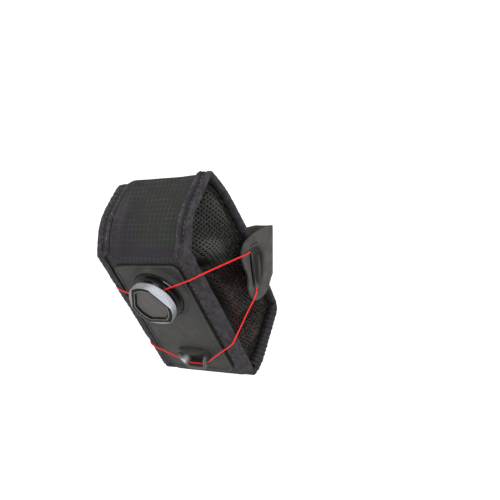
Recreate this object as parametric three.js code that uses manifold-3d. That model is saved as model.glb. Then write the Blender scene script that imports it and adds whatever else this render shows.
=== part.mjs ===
// Bike seat pack: a brick-shaped cloth pack that hangs nose-down under two saddle rails.
// One lace, wound in by a dial, runs round a guide in each wing and a guide on the base.
// Millimetres, +Z up, +Y forward, +X to the rider's right.
// The origin lies midway between the two rail loops.

import * as THREE from 'three';
import { mergeVertices } from 'three/addons/utils/BufferGeometryUtils.js';
import Module from 'manifold-3d';

const wasm = await Module();
wasm.setup();

// Driving dimensions

const FIT_GAP = 0.3;
const HANG_SLOPE = THREE.MathUtils.degToRad(48.9);
const RIDGE_PLACE = new THREE.Vector3(0, -77, -2);

const WRAP_HALF_WIDTH = 33;
const WRAP_THICK = 1.6;
const SWELL_FULL = 19;
const SWELL_NONE = 25.5;
const CORNER_STEPS = 4;

const LINING_THICK = 1;
const LINING_HALF_WIDTH = SWELL_NONE;

const MESH_THICK = 1;
const MESH_OUTSIDE = 29.2;
const MESH_CENTRE = { down: 37, up: 26 };
const MESH_STRETCH = 0.55;
const MESH_RINGS = [1, 0.93, 0.81, 0.64, 0.43, 0.2];

const TAPE_THICK = 1;
const TAPE_OUTER_LEG = 8.2;
const TAPE_BASE_LEG = { right: 8.2, left: 4 };
const TAPE_INNER_LEG = 3.8;
const TAPE_TOP_SHARE = 0.45;
const TAPE_ROUND = 0.5;

const GATHER_OUTER_LEG = 6;
const GATHER_INNER_LEG = 3.8;
const GATHER_RUFFLES = 9;
const GATHER_STEPS_PER_RUFFLE = 3;
const GATHER_RISE = 1.1;
const GATHER_SPREAD = 1.2;
const GATHER_FADE = 0.55;

const PAD_EDGE = { right: 21.8, leftTop: 26, leftBottom: 28 };
const PAD_TOP = 7.8;
const PAD_BOTTOM = 93;
const PAD_CORNER = 5.5;
const PAD_THICK = 1.8;
const PAD_BEVEL = 0.5;
const PAD_BORDER = 1.9;
const PAD_BORDER_RISE = 0.5;

const POCKET_FRONT = 76;
const POCKET_REACH = 8.5;
const POCKET_HALF_WIDTH = 12;
const POCKET_HEIGHT = 7.4;
const POCKET_WALL = 1.5;

const GUIDE_WALL = 1.5;
const GUIDE_HEIGHT = 7.9;
const GUIDE_TOP = { half: 11.2, down: 76.6, round: 0.8 };
const GUIDE_BAR = { half: 6.3, down: 86.4, round: 2.4 };
const GUIDE_CHAMFER = 0.3;

const DIAL_DOWN = 27.5;
const FLANGE_RADIUS = 17.5;
const FLANGE_EDGE = 4.4;
const FLANGE_TOP = 5.9;
const DIAL_CHAMFER = 0.5;
const DRUM_RADIUS = 12.6;
const DRUM_TOP = 8.7;
const AXLE_RADIUS = 2.6;
const AXLE_TOP = 10.2;
const HUB_RADIUS = 8.6;
const HUB_TEETH = 18;
const HUB_TOOTH = 0.8;
const HUB_THICK = 1.3;
const KNOB_RADIUS = 14.7;
const KNOB_BOTTOM = 9.3;
const KNOB_TOP = 14.2;
const KNOB_WEB = 1;
const KNOB_FOOT = 0.9;
const KNOB_DOME = [
  { inset: 0, drop: 1.9 },
  { inset: 0.8, drop: 0.6 },
  { inset: 2.4, drop: 0 },
];
const KNURL_COUNT = 22;
const KNURL_RADIUS = 0.8;
const KNURL_DEPTH = 0.45;
const CAP_SIDE = 10.9;
const CAP_CORNER = 13.7;
const CAP_ROUND = 7;
const CAP_ROUND_STEPS = 7;
const CAP_RISE = 0.5;
const CAP_SEAT = 11.6;
const CAP_BORDER = 2.2;
const CAP_DISH = 0.8;
const CAP_TURN = THREE.MathUtils.degToRad(92);
const ROUND_SIDES = 30;

const RAIL_X = 31.2;
const LOOP_RADIUS = 4.4;
const WING_THICK = 1.8;
const WING_SEAM = { x: 14, y: -19.5, fromShare: 0.06, toShare: 0.6 };
const WING_TAB_JOIN = -3;
const TAB_OUTLINE_STEPS = 30;
const LOOP_STEPS = 8;
const WINDOW_SLIT = 1;

const GUIDE_INSIDE = 34.7;
const GUIDE_OUTSIDE = 37.8;
const GUIDE_DISH = { forward: -14, rise: -8, halfForward: 3, halfRise: 8.5, turn: 0.22, depth: 0.5, steps: 18 };
const GUIDE_BEVEL = 0.6;

const LACE_RADIUS = 0.6;
const LACE_SIDES = 8;
const LACE_STEPS = 72;
const TUNNEL_RADIUS = 0.95;

// Side profile of the wrap, walked from the ridge along the base and back over the top.
// down runs along the base from the ridge, up runs away from the base. swellDown and
// swellUp move a corner at mid-width, and steps divides the run to the next corner.
const PROFILE = [
  { name: 'ridge', down: 0, up: 0, round: 4, swellDown: 5, swellUp: 0, steps: 6 },
  { name: 'toe', down: 97, up: 0, round: 4, swellDown: 2.5, swellUp: 0, steps: 1 },
  { name: 'nose', down: 96.5, up: 12, round: 14, swellDown: 3, swellUp: 0, steps: 3 },
  { name: 'brow', down: 84.5, up: 46, round: 7, swellDown: 1, swellUp: 0, steps: 4 },
  { name: 'crest', down: 28, up: 51.5, round: 60, swellDown: 0, swellUp: 0, steps: 3 },
  { name: 'slope', down: -4, up: 50, round: 40, swellDown: 0, swellUp: 0, steps: 2 },
  { name: 'heel', down: -21.3, up: 44, round: 3, swellDown: -0.5, swellUp: 0, steps: 3 },
  { name: 'back', down: -13.5, up: 13.5, round: 34, swellDown: 4, swellUp: 3, steps: 1 },
];

// Creases and hollows of a mesh side. along and across are half lengths, turn is the
// direction of the long axis in degrees from the base line, and depth goes inward.
const MESH_FOLDS = [
  { name: 'edge trough', down: 44, up: 9, along: 34, across: 5, turn: 2, depth: 4.2 },
  { name: 'crease', down: 21, up: 13, along: 12, across: 3.4, turn: 48, depth: 3 },
  { name: 'roll above crease', down: 9, up: 22, along: 16, across: 7, turn: 48, depth: -3.2 },
  { name: 'upper swell', down: -2, up: 40, along: 20, across: 8, turn: 15, depth: -2.6 },
  { name: 'middle hollow', down: 40, up: 29, along: 15, across: 7, turn: 60, depth: 3.4 },
  { name: 'nose fold', down: 70, up: 24, along: 16, across: 5, turn: 75, depth: 2.6 },
  { name: 'nose swell', down: 80, up: 18, along: 12, across: 5, turn: 80, depth: -2.2 },
];

// Outline of the tab behind the rail, seen from the side, as distances from the rail's axis.
const TAB_OUTLINE = [
  { forward: -10.2, rise: 13.4 },
  { forward: -20.6, rise: 9.6 },
  { forward: -28, rise: 5 },
  { forward: -31.2, rise: 0.2 },
  { forward: -31.4, rise: -4.6 },
  { forward: -28.7, rise: -9.8 },
  { forward: -25, rise: -14.5 },
  { forward: -24.4, rise: -18 },
  { forward: -24.6, rise: -22 },
  { forward: -22, rise: -27.2 },
  { forward: -17.6, rise: -29.4 },
  { forward: -12.5, rise: -28.6 },
  { forward: -6, rise: -25.8 },
];

// Heights of the wing's two edges along the strip, from the seam, round the rail, to the tab.
const WING_STRIP = [
  { place: 'seam end', low: 10.6, high: 13 },
  { place: 'rail', low: -14.8, high: 16.4 },
  { place: 'tab', low: -21.8, high: 16.2 },
];

// Corners of the lace guide in a tab, with the slit side last, as distances from the rail's axis.
const TAB_GUIDE = [
  { forward: -24, rise: 3, round: 2 },
  { forward: -15, rise: 5.5, round: 5 },
  { forward: -8, rise: 0, round: 6 },
  { forward: -8, rise: -14, round: 7 },
  { forward: -14.6, rise: -23.8, round: 2 },
  { forward: -18.4, rise: -23, round: 1.5 },
];

// Lace route over the base. A side leaves the dial at exitX and exitDown, crosses the panel edge at
// edgeDown, and comes back over the edge at lowerDown. The left side crosses lower than the right.
const LACE_SIDES_TABLE = [
  { side: 1, exitX: 9.2, exitDown: 20.4, edgeDown: 14, lowerDown: 65 },
  { side: -1, exitX: 11.6, exitDown: 26.2, edgeDown: 24.5, lowerDown: 71.5 },
];
const LACE_EDGE_X = 35.2;
const LACE_EDGE_TURN = { x: 35.4, lift: 0.6, rise: 0.6 };
const LACE_GUIDE = { x: 8, down: 82.3, lift: 5.4, middle: 83.6, leg: 5.8, legDown: 83.3 };

// Heights of the lace above the base, by the share of each straight run.
const LACE_TO_EDGE = [
  { share: 0, lift: 7.3 },
  { share: 0.5, lift: 5 },
  { share: 0.92, lift: 2.55 },
];
const LACE_TO_GUIDE = [
  { share: 0.07, lift: 2.6 },
  { share: 0.5, lift: 4.2 },
  { share: 0.94, lift: 5.3 },
];
const LACE_TO_TAB = [0.06, 0.55];
const LACE_FROM_TAB = [0.5, 0.93];

// Lace route inside a tab, from its upper hole round the turn to its lower hole.
const LACE_TURN = [
  { x: 38.3, forward: -27.4, rise: -1.6 },
  { x: 37.5, forward: -24.4, rise: -0.7 },
  { x: 36.25, forward: -20, rise: 0.7 },
  { x: 36.25, forward: -15, rise: 0.9 },
  { x: 36.25, forward: -11.4, rise: -2.4 },
  { x: 36.25, forward: -10.6, rise: -8 },
  { x: 36.25, forward: -12, rise: -13.6 },
  { x: 36.25, forward: -14.8, rise: -19 },
  { x: 37.5, forward: -17, rise: -22.7 },
  { x: 38.3, forward: -18.6, rise: -25.4 },
];

// Placing

/** Turns a place on the pack into the upright frame whose origin lies between the rails. */
function upright(x, down, up) {
  const cos = Math.cos(HANG_SLOPE);
  const sin = Math.sin(HANG_SLOPE);
  return new THREE.Vector3(x, down * cos + up * sin, up * cos - down * sin).add(RIDGE_PLACE);
}

// Outlines

/** Moves every side of a closed outline outward by offset and returns the new corners. */
function offsetCorners(corners, offset) {
  const count = corners.length;
  const sides = corners.map((corner, i) => {
    const next = corners[(i + 1) % count];
    const along = new THREE.Vector2().subVectors(next.at, corner.at).normalize();
    const outward = new THREE.Vector2(along.y, -along.x);
    return { start: corner.at.clone().addScaledVector(outward, offset), along };
  });
  return corners.map((corner, i) => {
    const before = sides[(i + count - 1) % count];
    const after = sides[i];
    const apart = new THREE.Vector2().subVectors(after.start, before.start);
    const travel = apart.cross(after.along) / before.along.cross(after.along);
    return { at: before.start.clone().addScaledVector(before.along, travel), round: corner.round };
  });
}

/** Rounds each corner of a closed outline and divides each straight run into its steps. */
function roundedOutline(corners, offset, cornerSteps) {
  const moved = offsetCorners(corners, offset);
  const count = moved.length;
  const arcs = moved.map((corner, i) => {
    const toward = new THREE.Vector2().subVectors(moved[(i + count - 1) % count].at, corner.at).normalize();
    const away = new THREE.Vector2().subVectors(moved[(i + 1) % count].at, corner.at).normalize();
    const turn = Math.PI - Math.acos(THREE.MathUtils.clamp(toward.dot(away), -1, 1));
    const reach = Math.max(corner.round + offset, 0.8) * Math.tan(turn / 2);
    return new THREE.QuadraticBezierCurve(
      corner.at.clone().addScaledVector(toward, reach),
      corner.at,
      corner.at.clone().addScaledVector(away, reach),
    ).getPoints(cornerSteps - 1);
  });
  return arcs.flatMap((arc, i) => {
    const next = arcs[(i + 1) % count][0];
    const last = arc[arc.length - 1];
    const steps = corners[i].steps ?? 1;
    const between = Array.from({ length: steps - 1 }, (_, k) => last.clone().lerp(next, (k + 1) / steps));
    return [...arc, ...between];
  });
}

/** The wrap's outline at one place across its width, moved outward by offset. */
function profileRing(offset, x, fine = false) {
  const swell = 1 - THREE.MathUtils.smoothstep(Math.abs(x), SWELL_FULL, SWELL_NONE);
  const corners = PROFILE.map((row) => ({
    at: new THREE.Vector2(row.down + row.swellDown * swell, row.up + row.swellUp * swell),
    round: row.round,
    steps: fine ? row.steps : 1,
  }));
  return roundedOutline(corners, offset, CORNER_STEPS);
}

/** Index of the first point of a named corner's arc in a coarse profile ring. */
function cornerStart(name) {
  return PROFILE.findIndex((row) => row.name === name) * CORNER_STEPS;
}

// Solids

/** Signed volume of an indexed closed mesh. */
function signedVolume(positions, index) {
  const a = new THREE.Vector3();
  const b = new THREE.Vector3();
  const c = new THREE.Vector3();
  let volume = 0;
  for (let i = 0; i < index.length; i += 3) {
    a.fromArray(positions, index[i] * 3);
    b.fromArray(positions, index[i + 1] * 3);
    c.fromArray(positions, index[i + 2] * 3);
    volume += a.dot(b.cross(c)) / 6;
  }
  return volume;
}

/** Makes an indexed geometry whose faces point out. */
function closedGeometry(positions, index) {
  if (signedVolume(positions, index) < 0) {
    index.reverse();
  }
  const geometry = new THREE.BufferGeometry();
  geometry.setAttribute('position', new THREE.Float32BufferAttribute(positions, 3));
  geometry.setIndex(index);
  geometry.computeVertexNormals();
  return geometry;
}

/**
 * Joins rings of equal count into one closed solid, each four-sided face split along its shorter
 * diagonal. A loop joins the last ring to the first, capFaces closes the two ends by given
 * triangles, and otherwise each end is closed by a fan.
 */
function solidFromRings(rings, { loop = false, capFaces = null } = {}) {
  const size = rings[0].length;
  const positions = rings.flat().flatMap((point) => [point.x, point.y, point.z]);
  const index = [];
  const spans = loop ? rings.length : rings.length - 1;
  for (let r = 0; r < spans; r += 1) {
    const next = (r + 1) % rings.length;
    const here = r * size;
    const there = next * size;
    for (let i = 0; i < size; i += 1) {
      const j = (i + 1) % size;
      const straight = rings[r][i].distanceTo(rings[next][j]) <= rings[r][j].distanceTo(rings[next][i]);
      index.push(...(straight
        ? [here + i, here + j, there + j, here + i, there + j, there + i]
        : [here + i, here + j, there + i, here + j, there + j, there + i]));
    }
  }
  const lastRing = (rings.length - 1) * size;
  if (!loop && capFaces) {
    capFaces.forEach(([a, b, c]) => index.push(c, b, a, lastRing + a, lastRing + b, lastRing + c));
  }
  if (!loop && !capFaces) {
    [0, lastRing].forEach((start, end) => {
      const ring = rings[end === 0 ? 0 : rings.length - 1];
      const middle = ring.reduce((sum, p) => sum.add(p), new THREE.Vector3()).divideScalar(size);
      const apex = positions.length / 3;
      positions.push(middle.x, middle.y, middle.z);
      for (let i = 0; i < size; i += 1) {
        const j = (i + 1) % size;
        index.push(...(end === 0 ? [start + j, start + i, apex] : [start + i, start + j, apex]));
      }
    });
  }
  return closedGeometry(positions, index);
}

/** Turns a geometry into a solid that can be joined and cut. */
function toSolid(geometry) {
  const bare = geometry.clone();
  bare.deleteAttribute('normal');
  bare.deleteAttribute('uv');
  const merged = mergeVertices(bare, 1e-4);
  return new wasm.Manifold(new wasm.Mesh({
    numProp: 3,
    vertProperties: new Float32Array(merged.attributes.position.array),
    triVerts: new Uint32Array(merged.index.array),
  }));
}

/** Turns a joined or cut solid back into a geometry. */
function toGeometry(solid) {
  const { numProp, vertProperties, triVerts } = solid.getMesh();
  const positions = [];
  for (let i = 0; i < vertProperties.length; i += numProp) {
    positions.push(vertProperties[i], vertProperties[i + 1], vertProperties[i + 2]);
  }
  return closedGeometry(positions, Array.from(triVerts));
}

/** The same shape on the other side of the pack. */
function mirrored(geometry) {
  const copy = geometry.clone().scale(-1, 1, 1);
  return closedGeometry(Array.from(copy.attributes.position.array), Array.from(copy.index.array));
}

/** A prism of a closed outline, with an optional bevel on both faces. */
function prism(points, height, bevel = 0) {
  return new THREE.ExtrudeGeometry(new THREE.Shape(points), {
    depth: height - 2 * bevel,
    bevelEnabled: bevel > 0,
    bevelThickness: bevel,
    bevelSize: bevel,
    bevelOffset: -bevel,
    bevelSegments: 1,
  }).translate(0, 0, bevel);
}

/** A solid of revolution about Z from a list of radius and height pairs. */
function turned(pairs) {
  const points = pairs.map(([radius, height]) => new THREE.Vector2(radius, height));
  return new THREE.LatheGeometry(points, ROUND_SIDES).rotateX(Math.PI / 2);
}

// Cloth body

/** A band of cloth that follows the profile between two offsets. */
function clothBand(outside, inside, halfWidth) {
  const bends = [SWELL_NONE, (SWELL_FULL + SWELL_NONE) / 2, SWELL_FULL];
  const half = [halfWidth, ...bends.filter((x) => x < halfWidth)];
  const stations = [...half.map((x) => -x), ...half.reverse()];
  const ringAt = (offset) => (x) => profileRing(offset, x).map((p) => new THREE.Vector3(x, p.x, p.y));
  const outer = stations.map(ringAt(outside));
  const inner = stations.map(ringAt(inside)).reverse();
  return solidFromRings([...outer, ...inner], { loop: true });
}

/** How far a mesh side is pushed inward at a place, from the table of folds. */
function foldDepth(down, up) {
  return MESH_FOLDS.reduce((sum, fold) => {
    const turn = THREE.MathUtils.degToRad(fold.turn);
    const alongBase = down - fold.down;
    const awayFromBase = up - fold.up;
    const along = (alongBase * Math.cos(turn) + awayFromBase * Math.sin(turn)) / fold.along;
    const across = (awayFromBase * Math.cos(turn) - alongBase * Math.sin(turn)) / fold.across;
    return sum + fold.depth * Math.exp(-along * along - across * across);
  }, 0);
}

/** The right mesh side: a thin sheet with its folds, flat where it is sewn in. */
function meshSide() {
  const edge = profileRing(-WRAP_THICK - FIT_GAP, WRAP_HALF_WIDTH, true);
  const ringAt = (share, inset) => edge.map((point) => {
    const place = new THREE.Vector2(
      THREE.MathUtils.lerp(MESH_CENTRE.down, point.x, 1 - (1 - share) * MESH_STRETCH),
      THREE.MathUtils.lerp(MESH_CENTRE.up, point.y, share),
    );
    const free = 1 - THREE.MathUtils.smoothstep(share, MESH_RINGS[3], MESH_RINGS[1]);
    return new THREE.Vector3(MESH_OUTSIDE - inset - free * foldDepth(place.x, place.y), place.x, place.y);
  });
  const outer = MESH_RINGS.map((share) => ringAt(share, 0)).reverse();
  const inner = MESH_RINGS.map((share) => ringAt(share, MESH_THICK));
  return solidFromRings([...outer, ...inner]);
}

// Edge tapes

/** Section of a tape folded over the panel edge, as a loop of places in the edge's frame. */
function tapeSection(rings, i, { outerLeg, innerLeg, rise = 0, spread = 0 }) {
  const edgeX = WRAP_HALF_WIDTH + FIT_GAP;
  const outX = edgeX + TAPE_THICK + spread;
  const place = (ring, x) => new THREE.Vector3(x, ring[i].x, ring[i].y);
  const top = rings.outer[i].clone().lerp(rings.raised[i], rise);
  const shoulder = rings.face[i].clone().lerp(top, 0.5);
  return [
    place(rings.face, WRAP_HALF_WIDTH - outerLeg),
    new THREE.Vector3(WRAP_HALF_WIDTH - outerLeg, top.x, top.y),
    new THREE.Vector3(outX - TAPE_ROUND, top.x, top.y),
    new THREE.Vector3(outX, shoulder.x, shoulder.y),
    place(rings.back, outX),
    place(rings.under, outX - TAPE_ROUND),
    place(rings.under, WRAP_HALF_WIDTH - innerLeg + FIT_GAP),
    place(rings.back, WRAP_HALF_WIDTH - innerLeg + FIT_GAP),
    place(rings.back, edgeX),
    place(rings.face, edgeX),
  ];
}

/** Triangles that close the end of a tape section, walked the same way round as the section. */
function tapeCap() {
  const flat = [[0, 2], [0, 3], [8, 3], [9, 2.5], [9, 1], [8, 0], [4, 0], [4, 1], [8, 1], [8, 2]]
    .map(([x, y]) => new THREE.Vector2(x, y));
  const backward = THREE.ShapeUtils.isClockWise(flat);
  return THREE.ShapeUtils.triangulateShape(flat, []).map((face) => {
    const same = THREE.ShapeUtils.isClockWise(face.map((i) => flat[i])) === backward;
    return same ? face : [...face].reverse();
  });
}

/** Places along part of a ring, spread evenly by length. */
function spreadAlong(points, steps) {
  const path = new THREE.CurvePath();
  for (let i = 0; i + 1 < points.length; i += 1) {
    path.add(new THREE.LineCurve(points[i], points[i + 1]));
  }
  return Array.from({ length: steps + 1 }, (_, k) => path.getPoint(k / steps));
}

/** The rings that a tape's section hangs on, over a run of the profile. */
function tapeRings(fromIndex, toIndex, steps = 0) {
  const runAt = (offset) => {
    const ring = profileRing(offset, WRAP_HALF_WIDTH);
    const count = (toIndex - fromIndex + ring.length) % ring.length;
    const run = Array.from({ length: count + 1 }, (_, k) => ring[(fromIndex + k) % ring.length]);
    return steps ? spreadAlong(run, steps) : run;
  };
  return {
    face: runAt(FIT_GAP),
    outer: runAt(FIT_GAP + TAPE_THICK),
    raised: runAt(FIT_GAP + TAPE_THICK + GATHER_RISE),
    back: runAt(-WRAP_THICK - FIT_GAP),
    under: runAt(-WRAP_THICK - FIT_GAP - TAPE_THICK),
  };
}

/** An edge tape of the right side, from the brow over the top, the rear panel and the base to the toe. */
function edgeTape(baseLeg) {
  const start = cornerStart('brow') + CORNER_STEPS - 1;
  const end = cornerStart('toe');
  const rings = tapeRings(start, end);
  const heel = cornerStart('heel') - start;
  const ridgeEnd = cornerStart('ridge') + CORNER_STEPS - 1;
  const base = rings.face.length - 1 - (end - ridgeEnd);
  const sections = rings.face.map((_, i) => {
    const panelLeg = i < heel ? TAPE_OUTER_LEG * TAPE_TOP_SHARE : TAPE_OUTER_LEG;
    const outerLeg = i < base ? panelLeg : baseLeg;
    return tapeSection(rings, i, { outerLeg, innerLeg: TAPE_INNER_LEG });
  });
  return solidFromRings(sections, { capFaces: tapeCap() });
}

/** The right front tape, gathered into ruffles between the toe and the brow. */
function frontGather() {
  const steps = GATHER_RUFFLES * GATHER_STEPS_PER_RUFFLE;
  const trim = 1;
  const rings = tapeRings(cornerStart('toe'), cornerStart('brow') + CORNER_STEPS - 1, steps + 2 * trim);
  const sections = Array.from({ length: steps + 1 }, (_, k) => {
    const wave = Math.sin((k / GATHER_STEPS_PER_RUFFLE) * 2 * Math.PI);
    const fade = 1 - GATHER_FADE * (k / steps);
    return tapeSection(rings, k + trim, {
      outerLeg: GATHER_OUTER_LEG,
      innerLeg: GATHER_INNER_LEG,
      rise: fade * (0.5 + 0.5 * wave),
      spread: GATHER_SPREAD * fade * (0.5 - 0.5 * wave),
    });
  });
  return solidFromRings(sections, { capFaces: tapeCap() });
}

// Lace

/** A route through hand-placed points that spends the same number of steps between any two. */
class HandRoute extends THREE.CatmullRomCurve3 {
  getUtoTmapping(u) {
    return u;
  }
}

/** One side of the lace, from the dial to the lower guide. */
function laceSide(row) {
  const flip = (point) => point.setX(point.x * row.side);
  const onBase = (x, down, lift) => flip(upright(x, down, -lift));
  const toEdge = ({ share, lift }) => onBase(
    THREE.MathUtils.lerp(row.exitX, LACE_EDGE_X, share),
    THREE.MathUtils.lerp(row.exitDown, row.edgeDown, share),
    lift,
  );
  const toGuide = ({ share, lift }) => onBase(
    THREE.MathUtils.lerp(LACE_EDGE_X, LACE_GUIDE.x, share),
    THREE.MathUtils.lerp(row.lowerDown, LACE_GUIDE.down, share),
    lift,
  );
  const turn = LACE_TURN.map(({ x, forward, rise }) => flip(new THREE.Vector3(x, forward, rise)));
  const upperEdge = onBase(LACE_EDGE_TURN.x, row.edgeDown, LACE_EDGE_TURN.lift);
  const lowerEdge = onBase(LACE_EDGE_TURN.x, row.lowerDown - LACE_EDGE_TURN.rise, LACE_EDGE_TURN.lift);
  return [
    ...LACE_TO_EDGE.map(toEdge),
    upperEdge,
    ...LACE_TO_TAB.map((share) => upperEdge.clone().lerp(turn[0], share)),
    ...turn,
    ...LACE_FROM_TAB.map((share) => turn[turn.length - 1].clone().lerp(lowerEdge, share)),
    lowerEdge,
    ...LACE_TO_GUIDE.map(toGuide),
    onBase(LACE_GUIDE.leg, LACE_GUIDE.legDown, LACE_GUIDE.lift),
  ];
}

/** The whole lace route, from the dial's right exit to its left exit. */
function laceRoute() {
  const [right, left] = LACE_SIDES_TABLE.map(laceSide);
  const middle = upright(0, LACE_GUIDE.middle, -LACE_GUIDE.lift);
  return new HandRoute([...right, middle, ...left.reverse()]);
}

/** A round bar along the lace route. */
function laceBar(radius) {
  const section = new THREE.Shape();
  section.absarc(0, 0, radius, 0, 2 * Math.PI);
  return new THREE.ExtrudeGeometry(section, {
    steps: LACE_STEPS,
    extrudePath: laceRoute(),
    curveSegments: LACE_SIDES / 2,
  });
}

// Base fittings, in a frame with +Y up the slope and +Z away from the base

/** The pad with its raised border and the domed pocket over the lower guide. */
function basePad() {
  const corners = [
    [-PAD_EDGE.leftBottom, -PAD_BOTTOM],
    [PAD_EDGE.right, -PAD_BOTTOM],
    [PAD_EDGE.right, -PAD_TOP],
    [-PAD_EDGE.leftTop, -PAD_TOP],
  ].map(([x, y]) => ({ at: new THREE.Vector2(x, y), round: PAD_CORNER }));
  const sheet = toSolid(prism(roundedOutline(corners, 0, CORNER_STEPS), PAD_THICK, PAD_BEVEL));
  const sunk = prism(roundedOutline(corners, -PAD_BORDER, CORNER_STEPS), PAD_THICK)
    .translate(0, 0, PAD_THICK - PAD_BORDER_RISE);
  const dome = (wall) => toSolid(new THREE.SphereGeometry(1, 20, 12).scale(
    POCKET_HALF_WIDTH - wall,
    POCKET_REACH - wall,
    POCKET_HEIGHT - wall,
  ).translate(0, -POCKET_FRONT, 0));
  const room = 2 * POCKET_HALF_WIDTH;
  const below = toSolid(new THREE.BoxGeometry(room, room, room).translate(0, -POCKET_FRONT, -room / 2));
  const before = toSolid(new THREE.BoxGeometry(room + 2, room, room).translate(0, -POCKET_FRONT - room / 2, 0));
  const floor = toSolid(new THREE.BoxGeometry(room, room, PAD_THICK).translate(0, -POCKET_FRONT, 0));
  const shell = dome(0).subtract(dome(POCKET_WALL).subtract(floor)).subtract(below).subtract(before);
  const pad = sheet.subtract(toSolid(sunk)).add(shell.subtract(floor));
  return toGeometry(pad).translate(0, 0, FIT_GAP);
}

/** Height of the sunk face of the pad, where the fittings sit. */
function padFace() {
  return FIT_GAP + PAD_THICK - PAD_BORDER_RISE;
}

/** The stirrup that turns the lace: a wall along a U, with a hole for the lace in each leg. */
function laceGuide(laceCut) {
  const corners = [
    { at: new THREE.Vector2(-GUIDE_TOP.half, -GUIDE_TOP.down), round: GUIDE_TOP.round },
    { at: new THREE.Vector2(-GUIDE_BAR.half, -GUIDE_BAR.down), round: GUIDE_BAR.round },
    { at: new THREE.Vector2(GUIDE_BAR.half, -GUIDE_BAR.down), round: GUIDE_BAR.round },
    { at: new THREE.Vector2(GUIDE_TOP.half, -GUIDE_TOP.down), round: GUIDE_TOP.round },
  ];
  const floor = padFace() + FIT_GAP;
  const outside = prism(roundedOutline(corners, 0, CORNER_STEPS), GUIDE_HEIGHT - floor, GUIDE_CHAMFER);
  const inside = offsetCorners(corners, -GUIDE_WALL).map((corner, i) => ({
    at: new THREE.Vector2(corner.at.x, i % 3 === 0 ? -GUIDE_TOP.down + GUIDE_WALL : corner.at.y),
    round: corners[i].round,
  }));
  const hollow = prism(roundedOutline(inside, 0, CORNER_STEPS), GUIDE_HEIGHT);
  return toGeometry(toSolid(outside).subtract(toSolid(hollow.translate(0, 0, -1)))
    .subtract(laceCut.translate([0, 0, -floor]))).translate(0, 0, floor);
}

// Dial, in a frame with +Z along its axis, away from the base

/** The housing: a flange on the pad, a drum that the lace leaves and the axle. */
function dialBase(laceCut) {
  const floor = padFace() + FIT_GAP;
  const body = turned([
    [0, floor], [FLANGE_RADIUS - DIAL_CHAMFER, floor], [FLANGE_RADIUS, floor + DIAL_CHAMFER],
    [FLANGE_RADIUS, FLANGE_EDGE], [FLANGE_RADIUS - DIAL_CHAMFER, FLANGE_EDGE + DIAL_CHAMFER],
    [DRUM_RADIUS, FLANGE_TOP], [DRUM_RADIUS, DRUM_TOP - DIAL_CHAMFER],
    [DRUM_RADIUS - DIAL_CHAMFER, DRUM_TOP], [AXLE_RADIUS, DRUM_TOP], [AXLE_RADIUS, AXLE_TOP], [0, AXLE_TOP],
  ]);
  return toGeometry(toSolid(body).subtract(laceCut));
}

/** The toothed disc on the axle that the knob turns. */
function dialHub() {
  const floor = DRUM_TOP + FIT_GAP;
  const teeth = Array.from({ length: HUB_TEETH * 2 }, (_, k) => {
    const angle = (k / (HUB_TEETH * 2)) * 2 * Math.PI;
    const radius = HUB_RADIUS - (k % 2) * HUB_TOOTH;
    return new THREE.Vector2(radius * Math.cos(angle), radius * Math.sin(angle));
  });
  const shape = new THREE.Shape(teeth);
  const bore = new THREE.Path().absarc(0, 0, AXLE_RADIUS + FIT_GAP, 0, 2 * Math.PI, true);
  shape.holes.push(bore);
  return new THREE.ExtrudeGeometry(shape, { depth: HUB_THICK, bevelEnabled: false, curveSegments: 12 })
    .translate(0, 0, floor);
}

/** Outline of the knob's three-sided cap, with its corners on a circle. */
function capOutline(inset) {
  const corners = Array.from({ length: 3 }, (_, k) => {
    const angle = CAP_TURN + (k / 3) * 2 * Math.PI;
    const reach = 2 * CAP_SIDE;
    return { at: new THREE.Vector2(reach * Math.cos(angle), reach * Math.sin(angle)), round: CAP_ROUND };
  });
  const cornerReach = CAP_CORNER - inset;
  return roundedOutline(corners, -inset, CAP_ROUND_STEPS).map((point) => point.clone().clampLength(0, cornerReach));
}

/** The knob's grip: a knurled wall with a domed rim, a seat for the cap and room for the hub. */
function dialGrip() {
  const room = HUB_RADIUS + FIT_GAP;
  const wall = turned([
    [0, CAP_SEAT - KNOB_WEB], [room, CAP_SEAT - KNOB_WEB], [room, KNOB_BOTTOM],
    [KNOB_RADIUS - KNOB_FOOT, KNOB_BOTTOM], [KNOB_RADIUS, KNOB_BOTTOM + KNOB_FOOT],
    ...KNOB_DOME.map(({ inset, drop }) => [KNOB_RADIUS - inset, KNOB_TOP - drop]),
    [0, KNOB_TOP],
  ]);
  const seat = prism(capOutline(-FIT_GAP), KNOB_TOP).translate(0, 0, CAP_SEAT);
  const flute = new THREE.CylinderGeometry(KNURL_RADIUS, KNURL_RADIUS, KNOB_TOP, 5).rotateX(Math.PI / 2);
  const knurls = Array.from({ length: KNURL_COUNT }, (_, k) => {
    const angle = (k / KNURL_COUNT) * 2 * Math.PI;
    const reach = KNOB_RADIUS + KNURL_RADIUS - KNURL_DEPTH;
    return flute.clone().translate(reach * Math.cos(angle), reach * Math.sin(angle), KNOB_BOTTOM);
  });
  const fluted = knurls.reduce((solid, knurl) => solid.subtract(toSolid(knurl)), toSolid(wall));
  return toGeometry(fluted.subtract(toSolid(seat)));
}

/** The knob's cap: a rounded triangle with a raised border round a dished face. */
function dialCap() {
  const floor = CAP_SEAT + FIT_GAP;
  const height = KNOB_TOP + CAP_RISE - floor;
  const block = toSolid(prism(capOutline(0), height, CAP_RISE));
  const dish = toSolid(prism(capOutline(CAP_BORDER), height).translate(0, 0, height - CAP_DISH));
  return toGeometry(block.subtract(dish)).translate(0, 0, floor);
}

// Wings, in the upright frame with the rail's axis at the origin's height

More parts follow.
